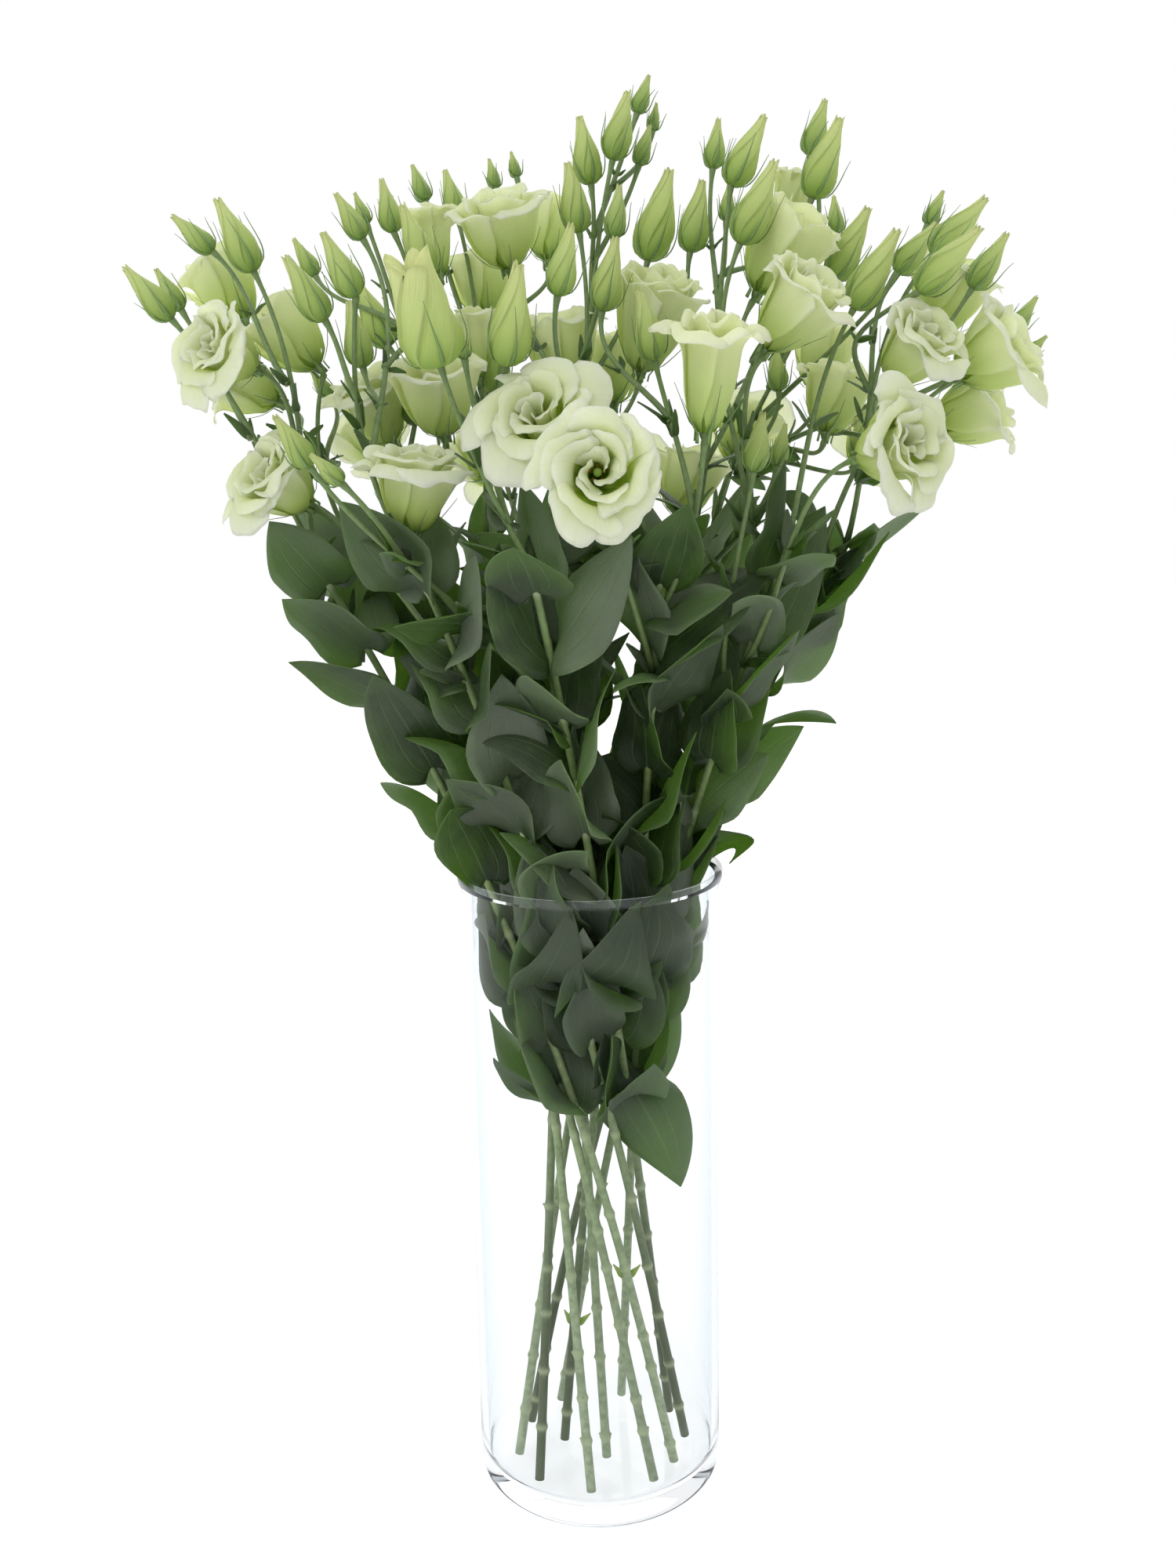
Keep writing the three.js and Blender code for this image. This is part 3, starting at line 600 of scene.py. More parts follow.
STALK_ROWS = 22
STALK_SIDES = 9
STALK_GROWTH = 1.25
STALK_RADIUS = 1.2
LEAST_STALK = 1.6
START_SWELL = {"most": 0.35, "share": 0.035}
END_SWELL = {"most": 0.6, "length": 4.5}
BLOOM_CUP = ((1.2, 1.5), (2.6, 2.35), (4.2, 3.0), (5.6, 3.3), (6.1, 2.4))
BUD_CUP = ((0.5, 1.5), (1.2, 2.1), (2.0, 2.3))
CUP_HEIGHT = 1.35


def build_stalk(build, index, b, curve, shape, head):
    """A stalk that swells at both its ends, and the green cup that holds its bloom or bud."""
    shares = 1 - (1 - np.linspace(0, 1, STALK_ROWS)) ** 1.5
    thick = max(shape["thick"] * STALK_GROWTH, LEAST_STALK)
    radii = thick + (STALK_RADIUS - thick) * smooth(0, 1, shares)
    left = (1 - shares) * np.linalg.norm(curve.point(1) - curve.point(0))
    radii = radii * (1 + START_SWELL["most"] * np.exp(-(shares / START_SWELL["share"]) ** 2)
                     + END_SWELL["most"] * np.exp(-(left / END_SWELL["length"]) ** 2))
    rings, near = rings_along(curve, shares, radii, STALK_SIDES)
    heights = [r[0][2] / CROWN_HEIGHT for r in rings]
    for rise, radius in BLOOM_CUP if head["width"] else BUD_CUP:
        rings.append(ring(head["seat"] + head["axis"] * rise, head["axis"], near, radius, STALK_SIDES))
        heights.append(CUP_HEIGHT)
    looks = looks_of((len(rings), STALK_SIDES), np.array(heights)[:, None], 0, chance(index, b, 48))
    add_tube(build, rings, looks)


# Sepals: thin green threads that lie along a bud or bloom and curl away at their tips.
SEPALS = 5
SEPAL_ROWS = 10
SEPAL_DRAWS = {"turn": (-0.15, 0.15), "length": (0.8, 1.15), "curl": (1.5, 6.5), "sway": (-3.2, 3.2)}
SEPAL_GAP = 0.45
SHORT_SEPAL = 20
SEPAL_WIDTH = (1.15, 0.16)
SEPAL_THICKNESS = (0.3, 0.16)


def build_sepals(build, index, b, head, reach, radius_at):
    seat, axis = head["seat"], head["axis"]
    for k in range(SEPALS):
        own = {name: within(bounds, index, b, 51 + SEPALS * n + k)
               for n, (name, bounds) in enumerate(SEPAL_DRAWS.items())}
        out = spoke(axis, (k + own["turn"]) * 2 * math.pi / SEPALS)
        aside = np.cross(axis, out)
        curl = own["curl"] * min(1, reach / SHORT_SEPAL)
        rings = []
        for t in np.linspace(0, 1, SEPAL_ROWS):
            rise = reach * own["length"] * t
            away = radius_at(rise) + SEPAL_GAP + curl * t ** 2.2
            centre = seat + axis * (rise + 0.4) + out * away + aside * own["sway"] * t * t
            wide = aside * (SEPAL_WIDTH[0] * (1 - t) ** 1.5 + SEPAL_WIDTH[1])
            thin = out * (SEPAL_THICKNESS[0] * (1 - t) + SEPAL_THICKNESS[1])
            rings.append([centre - thin, centre - wide, centre + thin, centre + wide])
        looks = looks_of((SEPAL_ROWS, 4), np.linspace(0, 1, SEPAL_ROWS)[:, None], 0, 0.5)
        add_tube(build, rings, looks, 1)


# Buds: petals wound round each other, full near the base, with a ragged tip.
BUD_SHARES = np.array([0, 0.02, 0.06, 0.12, 0.2, 0.28, 0.37, 0.47, 0.57, 0.67, 0.77, 0.86, 0.93, 1.0])
BUD_FULLNESS = np.array([0.3, 0.5, 0.72, 0.89, 0.98, 1, 0.95, 0.85, 0.73, 0.60, 0.47, 0.36, 0.28, 0.21])
PETAL_STEPS = (0.0, 0.14, 0.3, 0.5, 0.7, 0.86, 0.985)
BUD_WINDING = 1.7
BUD_OVERLAP = 0.17
BUD_PETALS = 5
BUD_SLIM = 0.92
BUD_FLARE = 0.22
BUD_MOUTH = ((0.62, 0.05), (0.3, 0.12))
TIP_LIFT = (0.06, 0.2)
TIP_DRAW = (0.25, 1)
OPENING_GIRTH = 0.6
OPENING_TIP = 0.42
OPENING_SLIM = 0.82
GROWN_BUD = (16, 42)


def bud_radius(head, share):
    fullness = np.interp(share, BUD_SHARES, BUD_FULLNESS)
    if head["girth"] > OPENING_GIRTH:
        fullness = (fullness + OPENING_TIP * smooth(0.35, 1, share)) * OPENING_SLIM
    else:
        fullness = fullness * BUD_SLIM
    return fullness * head["girth"] * head["length"] / 2


def build_bud(build, index, b, head):
    length = head["length"]
    steps = np.array([petal + t for petal in range(BUD_PETALS) for t in PETAL_STEPS])
    within_petal = np.tile(PETAL_STEPS, BUD_PETALS)
    arch = np.sin(math.pi * within_petal)
    overlap = BUD_OVERLAP * smooth(0.02, 0.3, BUD_SHARES)[:, None]
    radius = bud_radius(head, BUD_SHARES)[:, None] * (1 + overlap * (within_petal - 0.55))
    radius = radius * (1 + BUD_FLARE * smooth(0.9, 1, BUD_SHARES)[:, None] * arch)
    turn = within((0, 2 * math.pi), index, b, 71) + steps * 2 * math.pi / BUD_PETALS
    angles = turn + (BUD_WINDING * BUD_SHARES ** 1.4)[:, None]
    peaks = np.array([within(TIP_DRAW, index, b, 72 + petal) for petal in range(BUD_PETALS)])
    lift = np.repeat(peaks, len(PETAL_STEPS)) * arch * TIP_LIFT[head["girth"] > OPENING_GIRTH] * length
    rise = (BUD_SHARES * length)[:, None] + lift * smooth(0.8, 1, BUD_SHARES)[:, None]
    radius = np.vstack([radius] + [radius[-1] * share for share, _ in BUD_MOUTH])
    rise = np.vstack([rise] + [rise[-1] - drop * length for _, drop in BUD_MOUTH])
    angles = np.vstack([angles] + [angles[-1]] * len(BUD_MOUTH))
    along = np.append(BUD_SHARES, np.ones(len(BUD_MOUTH)))[:, None]
    age = (length - GROWN_BUD[0]) / (GROWN_BUD[1] - GROWN_BUD[0]) + within((-0.2, 0.2), index, b, 79)
    looks = looks_of(angles.shape, along, within_petal, np.clip(age, 0, 1))
    add_tube(build, round_axis(head["seat"], head["axis"], rise, radius, angles), looks)


# Blooms: a petal rises as a cup and flares over its upper part. Shares are of a bloom's width and depth.
WHORL = ("petals", "start", "cup", "flare", "height", "droop", "span", "tuck", "turn")
OPEN_WHORLS = (
    (5, 0.06, 0.24, 0.25, 0.88, 0.18, 0.84, 0.08, 0.0),
    (4, 0.05, 0.20, 0.17, 0.97, 0.08, 0.98, 0.13, 0.5),
    (3, 0.04, 0.13, 0.12, 0.98, 0.05, 1.2, 0.2, 0.2),
    (3, 0.03, 0.05, 0.07, 0.88, 0.03, 1.35, 0.34, 0.6),
)
CUP_WHORLS = (
    (5, 0.08, 0.30, 0.08, 0.96, 0.03, 0.84, 0.12, 0.0),
    (4, 0.06, 0.25, 0.07, 1.02, 0.02, 0.98, 0.16, 0.5),
    (3, 0.05, 0.20, 0.05, 1.04, 0.0, 1.2, 0.24, 0.2),
    (3, 0.03, 0.10, 0.03, 0.98, 0.0, 1.35, 0.34, 0.6),
)
SLENDER = {"cup": 0.5, "flare": 0.24, "droop": 0.1, "inner": 0.22}
SLENDER_FROM = 0.88
WIDE_BLOOM = 47
OPEN_FROM = 0.9
OPEN_RANGE = 0.5
LARGE_PETAL = (14, 24)
SMALL_PETAL = (12, 18)
LARGE_REACH = (1.32, 0.0072)
SMALL_REACH = 1.3
SMALL_RISE = 1.1
PETAL_THICKNESS = 0.35
PETAL_SINK = 0.6
DENT = {"deep": 0.035, "wide": 0.16}
FRINGE = 0.02
SWAY = 0.35
WAVE_SHIFT = 3
LAP_SINK = 0.06
YOUTH = {"closed": 0.75, "chance": 0.06, "inner": 0.12}

# The ranges that a petal's own numbers are drawn from, in this order.
EDGE_DRAWS = {"dent": (-0.5, 0.5), "narrowing": (0.16, 0.26)}
PETAL_DRAWS = {
    "length": (0.9, 1.05), "side": (0, 2 * math.pi), "sway": (0.35, 0.8), "flare": (0.7, 1.3),
    "stand": (-0.03, 0.05), "lap": (0.01, 0.05), "wave": (1.1, 2.1), "wave_out": (0.01, 0.03),
    "wave_up": (0.02, 0.06), "frill": (3.5, 6.0), "frill_out": (0.003, 0.009), "drift": (-0.09, 0.09),
    "twist": (0.1, 0.35)}


def openness(head):
    return float(np.clip((head["width"] / head["depth"] - OPEN_FROM) / OPEN_RANGE, 0, 1))


def whorls_for(head):
    share = openness(head)
    whorls = [{name: a * (1 - share) + b * share for name, a, b in zip(WHORL, cup, wide)}
              for cup, wide in zip(CUP_WHORLS, OPEN_WHORLS)]
    if head["width"] < head["depth"] * SLENDER_FROM:
        whorls = [{**whorl, "cup": whorl["cup"] * SLENDER["cup"], "droop": SLENDER["droop"],
                   "flare": SLENDER["flare"] * (1 - SLENDER["inner"] * k)} for k, whorl in enumerate(whorls)]
    return whorls if head["width"] >= WIDE_BLOOM else whorls[:1] + whorls[2:]


def reach_of(head):
    wide = head["width"]
    return wide * (LARGE_REACH[0] - LARGE_REACH[1] * wide if wide >= WIDE_BLOOM else SMALL_REACH)


def petal_profile(whorl, reach, flare=1.0):
    """How far out and up a petal is at a share of its length."""
    out = whorl["start"] + whorl["cup"] * np.sin(math.pi / 2 * np.clip(reach / 0.55, 0, 1)) ** 0.7 \
        + flare * whorl["flare"] * smooth(0.5, 1, reach) ** 1.2
    up = whorl["height"] * np.sin(math.pi / 2 * np.clip(reach / 0.9, 0, 1)) ** 1.35 \
        - whorl["droop"] * smooth(0.7, 1, reach) * flare
    return out, up


def build_petal(build, index, whorl_number, petal, whorl, head):
    """A broad petal: u runs up it and v across it. It sways, laps over its neighbour, waves and frills."""
    rng = np.random.default_rng([index, whorl_number, petal])
    large = head["width"] >= WIDE_BLOOM
    rows, columns = LARGE_PETAL if large else SMALL_PETAL
    outward = 1 - whorl_number / len(OPEN_WHORLS)
    u = np.linspace(0, 1, rows)[:, None] ** 0.85
    v = np.linspace(-1, 1, columns)[None, :]
    edge = {name: rng.uniform(*bounds) for name, bounds in EDGE_DRAWS.items()}
    outline = 1 - edge["narrowing"] * np.abs(v) ** 3.2 \
        - DENT["deep"] * np.exp(-((v - edge["dent"]) / DENT["wide"]) ** 2)
    fringe = np.convolve(rng.normal(0, 1, columns + 2), (0.3, 0.5, 0.3), "valid")
    own = {name: rng.uniform(*bounds) for name, bounds in PETAL_DRAWS.items()}
    reach = u * outline * own["length"] + FRINGE * fringe * u ** 6
    sway = np.sin(own["sway"] * math.pi * v + own["side"])
    out, up = petal_profile(whorl, reach, own["flare"] + SWAY * outward * sway)
    out = out + own["stand"] * outward * smooth(0.3, 1, u)
    out = out * (1 + whorl["tuck"] * v * smooth(0.05, 0.4, u))
    lap = smooth(0.45, 1, v) ** 1.5 * smooth(0.35, 0.9, u)
    wave = np.sin(own["wave"] * math.pi * v + own["side"] * 1.7)
    frill = np.sin(own["frill"] * math.pi * v + own["side"])
    out = out + lap * own["lap"] + own["wave_out"] * smooth(0.45, 1, u) * wave \
        + own["frill_out"] * frill * smooth(0.8, 1, u)
    up = up + own["wave_up"] * smooth(0.45, 1, u) * np.roll(wave, WAVE_SHIFT) - LAP_SINK * lap
    claw = 0.45 + 0.55 * smooth(0, 0.45, u)
    middle = (petal + whorl["turn"] + own["drift"]) * 2 * math.pi / whorl["petals"]
    angle = middle + v * whorl["span"] * claw + own["twist"] * u
    base = head["seat"] + head["axis"] * (CALYX_LENGTH + GAP - PETAL_SINK)
    deep = head["depth"] * (1 if large else SMALL_RISE)
    grid = round_axis(base, head["axis"], deep * up, reach_of(head) * out, angle)
    thick = PETAL_THICKNESS * (1 - 0.5 * smooth(0.6, 1, u)) * np.ones_like(v)
    youth = YOUTH["closed"] * (1 - openness(head)) + YOUTH["chance"] * rng.normal() \
        + YOUTH["inner"] * (1 - outward)
    add_sheet(build, grid, thick, looks_of((rows, columns), u, v, youth))


# A bloom's heart: how far up and how thick its pistil and its anthers are, the anthers about their middles.
PISTIL = ((0.02, 1.6), (0.2, 1.7), (0.4, 1.0), (0.5, 0.9), (0.56, 2.0), (0.62, 2.1), (0.65, 0.9))
PISTIL_SIDES = 8
ANTHERS = 5
ANTHER = ((-1.4, 0.4), (-0.6, 0.95), (0.8, 0.95), (1.6, 0.4))
ANTHER_SIDES = 6
ANTHER_PLACE = {"turn": 0.3, "foot": (0.1, 1.8), "tip": (0.5, 3.4)}
THREAD_RADIUS = 0.3
THREAD_SIDES = 5
HEART_GREEN = 0.2


def build_heart(build, head):
    """The pistil with its thick tip, deep between the inner petals, and the anthers round it."""
    axis, depth = head["axis"], head["depth"]
    base = head["seat"] + axis * CALYX_LENGTH
    pistil = [ring(base + axis * depth * rise, axis, X, radius, PISTIL_SIDES) for rise, radius in PISTIL]
    add_tube(build, pistil, (HEART_GREEN, 0, 0.5), 1)
    for k in range(ANTHERS):
        out = spoke(axis, k * 2 * math.pi / ANTHERS + ANTHER_PLACE["turn"])
        foot, tip = (base + axis * depth * rise + out * away
                     for rise, away in (ANTHER_PLACE["foot"], ANTHER_PLACE["tip"]))
        thread = [ring(spot, axis, X, THREAD_RADIUS, THREAD_SIDES) for spot in (foot, (foot + tip) / 2, tip)]
        add_tube(build, thread, (HEART_GREEN, 0, 0.5), 1)
        anther = [ring(tip + axis * rise, axis, X, radius, ANTHER_SIDES) for rise, radius in ANTHER]
        add_tube(build, anther, (1, 0, 0.5), 1)


def build_bloom(index, head, materials):
    build = Build()
    for number, whorl in enumerate(whorls_for(head)):
        for petal in range(round(whorl["petals"])):
            build_petal(build, index, number, petal, whorl, head)
    if head["width"] >= WIDE_BLOOM:
        build_heart(build, head)
    build.piece(head["node"] + "_petals", materials, "cream_petal", head["node"])


# Leaves: pointed ovals, rounded at the base where they clasp the stem, with a rib along the middle.
WIDTH_SHARES = (0, 0.02, 0.055, 0.11, 0.19, 0.29, 0.40, 0.52, 0.64, 0.75, 0.85, 0.925, 0.97, 1.0)
WIDTHS = (0.34, 0.58, 0.79, 0.94, 1.0, 1.0, 0.95, 0.86, 0.72, 0.55, 0.36, 0.20, 0.09, 0.012)
LEAF_ROWS = np.array([0, 0.012, 0.03, 0.055, 0.085, 0.125, 0.18, 0.24, 0.31, 0.38, 0.45, 0.52, 0.585, 0.65,
                      0.71, 0.77, 0.825, 0.875, 0.92, 0.96, 1.0])
LEAF_WIDTHS = np.interp(LEAF_ROWS, WIDTH_SHARES, WIDTHS)
LEAF_WIDTHS[2:-2] = np.convolve(LEAF_WIDTHS, (0.25, 0.5, 0.25), "valid")[1:-1]
LEAF_COLUMNS = 9
BRACT_ROWS = LEAF_ROWS[::3]
BRACT_WIDTHS = LEAF_WIDTHS[::3]
BRACT_COLUMNS = 5
LEAF_THICKNESS = 0.6
LEAF_THINNING = 0.55
LEAF_RIB = 0.35
LOBE_SHARE = 0.10
LEAF_TWIST = (-0.5, 0.5)
LEAF_ROLL = (0.15, 0.9)
LEAF_WAVE = (0.03, 0.12)
LEAF_UPRIGHT = 0.5
GLASS_CLEARANCE = 1.2
PRESSED_FROM = 0.88
RIM_EASE = {"below": 8, "slope": 1.2}


def inside_glass(grid):
    """Points drawn in clear of the vase's wall, and let out again from a little below its rim."""
    away = np.hypot(grid[..., 0], grid[..., 1])
    above = np.maximum(grid[..., 2] - VASE_HEIGHT + RIM_EASE["below"], 0)
    limit = VASE_RADIUS - VASE_WALL - GLASS_CLEARANCE + RIM_EASE["slope"] * above
    near = PRESSED_FROM * limit
    room = limit - near
    pressed = near + room * np.tanh(np.maximum(away - near, 0) / room)
    scale = np.where(away > near, pressed / np.maximum(away, 1e-6), 1.0)
    return grid * np.stack([scale, scale, np.ones_like(scale)], axis=-1)


def upright(leaf):
    """Above the rim, leaves that point away from the bouquet's middle are held nearer to their stem."""
    away = unit(leaf["root"] * np.array([1.0, 1.0, 0.0]))
    if leaf["root"][2] < VASE_HEIGHT:
        return leaf
    return {**leaf, "pitch": leaf["pitch"] * (1 - LEAF_UPRIGHT * max(0.0, away.dot(leaf["outward"])))}


def build_leaf(build, index, number, leaf, rows=LEAF_ROWS, widths=LEAF_WIDTHS, columns=LEAF_COLUMNS):
    rng = np.random.default_rng([index, number, 7])
    v = np.linspace(-1, 1, columns)
    twist = rng.uniform(*LEAF_TWIST)
    roll = rng.choice((-1, 1)) * rng.uniform(*LEAF_ROLL)
    wave = rng.uniform(*LEAF_WAVE)
    phase = rng.uniform(0, 2 * math.pi, 2)
    grid = np.zeros((len(rows), columns, 3))
    for row, share in enumerate(rows):
        forward, up = leaf_frame(leaf, share)
        turn = twist * share + roll * smooth(0, 0.35, share)
        side = leaf["side"] * math.cos(turn) + up * math.sin(turn)
        half = widths[row] * leaf["width"] / 2
        lobe = LOBE_SHARE * leaf["length"] * (1 - min(share / 0.2, 1)) ** 1.5 if rows is LEAF_ROWS else 0
        cupped = leaf["fold"] * half * (0.25 * np.abs(v) + 0.75 * np.abs(v) ** 2.2)
        wavy = wave * half * v ** 2 * np.sin(7 * share + phase[0] + np.sign(v) * phase[1])
        grid[row] = leaf_point(leaf, share) + np.outer(v * half, side) \
            + np.outer(cupped + wavy, np.cross(side, forward)) - np.outer(lobe * np.abs(v) ** 1.4, forward)
    thick = LEAF_THICKNESS * (1 - LEAF_THINNING * v ** 2)[None, :] * np.ones((len(rows), 1))
    thick[:, columns // 2] += LEAF_RIB
    looks = looks_of(grid.shape[:2], rows[:, None], v[None, :], rng.uniform(0, 1))
    add_sheet(build, inside_glass(grid), thick, looks)


# More leaf pairs between the joints of the others. Their widths are shares of their lengths.
LOWEST_MORE = 1
MORE_KEY = 20
MORE = {"length": (56, 82), "width": (0.5, 0.72), "fold": (0.05, 0.4)}
OPEN_MORE = {"pitch": (8, 44), "arch": (-25, 85)}
HELD_MORE = {"pitch": (45, 85), "arch": (-75, -15)}
HELD_GROWTH = {"length": 1.28, "width": 0.82}
MORE_TURN = (-0.7, 0.7)


def more_leaves(index, main):
    leaves = []
    for j in range(LOWEST_MORE, LEAF_JOINTS - 1):
        share, key = joint_share(j + 0.5), j + MORE_KEY
        joint, axis = main.point(share), main.tangent(share)
        open_air = joint[2] > VASE_HEIGHT - 2 * BELOW_RIM
        bearing = math.atan2(joint[1], joint[0]) + math.pi / 2 + within(MORE_TURN, index, key, 101)
        for side in (0, 1):
            size = drawn({**MORE, **(OPEN_MORE if open_air else HELD_MORE)}, index, key, 102 + side)
            for name, growth in HELD_GROWTH.items():
                size[name] *= 1 if open_air else growth
            size["width"] *= size["length"]
            leaves.append(leaf_at(joint, axis, facing(axis, bearing + side * math.pi), ROOT_OUT, size))
    return leaves


# One leaf hangs below the others, and sprouts grow at two low joints.
HANGING = {"length": 68, "width": 46, "pitch": 142, "arch": 25, "fold": 0.3}
HANGING_FROM = {"stem": 3, "share": 0.475, "bearing": -42}
SPROUTS = ((4, 2), (8, 1))
SPROUT = {"length": 11, "girth": 0.4}
SPROUT_LEAN = 0.7
SPROUT_OUT = 1.8
SPROUT_KEY = 70


def hanging_leaf(main):
    axis = main.tangent(HANGING_FROM["share"])
    outward = facing(axis, math.radians(HANGING_FROM["bearing"]))
    return leaf_at(main.point(HANGING_FROM["share"]), axis, outward, ROOT_OUT, HANGING)


def build_sprouts(build, index, main):
    for number, (stem, joint) in enumerate(SPROUTS):
        if stem != index:
            continue
        share = bare_joints(index)[joint]
        axis = main.tangent(share)
        for side in (-1, 1):
            out = square_to(axis, X * side)[0]
            sprout = {**SPROUT, "axis": unit(axis + SPROUT_LEAN * out),
                      "seat": main.point(share) + SPROUT_OUT * out}
            build_bud(build, index, SPROUT_KEY + number, sprout)


BRACT_SHARES = (0.0, 0.5)
LONG_STALK = 75
BRACT_SHRINK = {"top": 740, "over": 170, "least": 0.42}
BRACT = {"length": (18, 32), "width": (0.2, 0.34), "pitch": (14, 40), "arch": (0, 50)}
BRACT_FOLD = 0.3
BRACT_OUT = 0.6


def bracts_of(index, b, curve):
    """Pairs of narrow bracts at a stalk's start and, on a long one, halfway up."""
    bracts = []
    for place, share in enumerate(BRACT_SHARES):
        if share and np.linalg.norm(curve.point(1) - curve.point(0)) < LONG_STALK:
            continue
        spot, axis = curve.point(share), curve.tangent(share)
        turn = within((0, math.pi), index, b, 81 + place)
        shrink = np.clip((BRACT_SHRINK["top"] - spot[2]) / BRACT_SHRINK["over"], BRACT_SHRINK["least"], 1)
        keys = {"length": 83 + 2 * place, "width": 87, "pitch": 89, "arch": 91}
        for side in (0, 1):
            size = {name: within(BRACT[name], index, b, key + side) for name, key in keys.items()}
            size["length"] *= shrink
            size["width"] *= size["length"]
            size["fold"] = BRACT_FOLD
            bracts.append(leaf_at(spot, axis, facing(axis, turn + side * math.pi), BRACT_OUT, size))
    return bracts


# A stem, its leaves and its buds are three pieces. Each leaf's number starts its own random draws.
LEAF_GROWTH = {"length": 1.02, "width": 1.12}
LOWEST_ROOT = 230
LOWEST_RAISED = 20
MORE_FROM = 200
HANGING_NUMBER = 400
BRACTS_FROM = 500
BRACTS_EACH = 10
SEPAL_REACH = {"bud": 0.66, "bloom": 0.42}


def sepal_path(head):
    """How far a head's sepals reach, and how far out its side is at a height above its seat."""
    if not head["width"]:
        return SEPAL_REACH["bud"] * head["length"], lambda rise: (
            bud_radius(head, min(rise / head["length"], 1)) * (1 + 0.4 * BUD_OVERLAP))
    whorl = whorls_for(head)[0]
    out, up = petal_profile(whorl, np.linspace(0, 0.7, 20))
    rises, radii = up * head["depth"] + CALYX_LENGTH, out * reach_of(head)
    return SEPAL_REACH["bloom"] * head["depth"] + CALYX_LENGTH, lambda rise: (
        max(CALYX_RADIUS, np.interp(rise, rises, radii) * (1 + whorl["tuck"])))


def build_stem(index, stem, looks):
    green, leafy, budding = Build(), Build(), Build()
    build_main(green, index, stem["main"])
    for number, leaf in enumerate(stem["leaves"]):
        if leaf["root"][2] < LOWEST_ROOT:
            leaf["root"] = leaf["root"] + leaf["axis"] * LOWEST_RAISED
        grown = {name: leaf[name] * growth for name, growth in LEAF_GROWTH.items()}
        build_leaf(leafy, index, number, upright({**leaf, **grown}))
    for number, leaf in enumerate(more_leaves(index, stem["main"])):
        build_leaf(leafy, index, MORE_FROM + number, upright(leaf))
    if index == HANGING_FROM["stem"]:
        build_leaf(leafy, index, HANGING_NUMBER, hanging_leaf(stem["main"]))
    build_sprouts(budding, index, stem["main"])
    for b, ((curve, shape), head) in enumerate(zip(stem["branches"], stem["heads"])):
        build_stalk(green, index, b, curve, shape, head)
        for k, bract in enumerate(bracts_of(index, b, curve)):
            build_leaf(leafy, index, BRACTS_FROM + BRACTS_EACH * b + k, bract,
                       BRACT_ROWS, BRACT_WIDTHS, BRACT_COLUMNS)
        build_sepals(green, index, b, head, *sepal_path(head))
        if not head["width"]:
            build_bud(budding, index, b, head)
    node = stem["name"]
    for build, part, kinds in ((green, "stalks", ("stem", "sepal")), (leafy, "leaves", ("leaf",)),
                               (budding, "buds", ("bud",))):
        build.piece(f"{node}_{part}", [looks[kind] for kind in kinds], "green_plant", node)


# The vase, turned from its profile.
VASE_SEGMENTS = 160
RIM_HEIGHT = 6
ARC_POINTS = 10
WALL_ROWS = 6
WALL_START = 60
FLARE_FROM = LIP_DROP * 0.62
NECK_DROP = 5
OUTER_FLARE = 0.9
OUTER_NECK = 0.5
INNER_FLARE = 0.8
INNER_NECK = 2.4


def vase_profile():
    def arc(centre_r, centre_z, radius, start, end):
        angles = np.radians(np.linspace(start, end, ARC_POINTS))
        return [(centre_r + radius * math.cos(a), centre_z + radius * math.sin(a)) for a in angles]

    half = VASE_WALL / 2
    inner = VASE_RADIUS - VASE_WALL
    bend, flare, neck = (VASE_HEIGHT - drop for drop in (LIP_DROP, FLARE_FROM, NECK_DROP))
    profile = arc(VASE_RADIUS - VASE_HEEL, VASE_HEEL, VASE_HEEL, -90, 0)
    profile += [(VASE_RADIUS, z) for z in np.linspace(WALL_START, bend, WALL_ROWS)]
    profile += [(VASE_RADIUS + OUTER_FLARE, flare), (LIP_RADIUS - OUTER_NECK, neck)]
    profile += arc(LIP_RADIUS - half, VASE_HEIGHT - half, half, 0, 180)
    profile += [(inner + INNER_NECK, neck), (inner + INNER_FLARE, flare)]
    profile += [(inner, z) for z in np.linspace(bend, WALL_START, WALL_ROWS)]
    profile += arc(inner - FLOOR_FILLET, VASE_FLOOR + FLOOR_FILLET, FLOOR_FILLET, 0, -90)
    return profile


def build_vase(materials):
    """The vase, with its rim of the second material."""
    build = Build()
    profile = vase_profile()
    add_tube(build, [ring(Z * z, Z, X, r, VASE_SEGMENTS) for r, z in profile], (0, 0, 0))
    rim = [int(z > VASE_HEIGHT - RIM_HEIGHT) for _, z in profile]
    build.kinds[2:] = np.repeat([low * high for low, high in zip(rim, rim[1:])], VASE_SEGMENTS).tolist()
    vase = build.piece("vase_glass", materials, "clear_glass", "vase")
    vase.visible_shadow = False
    vase.visible_diffuse = False


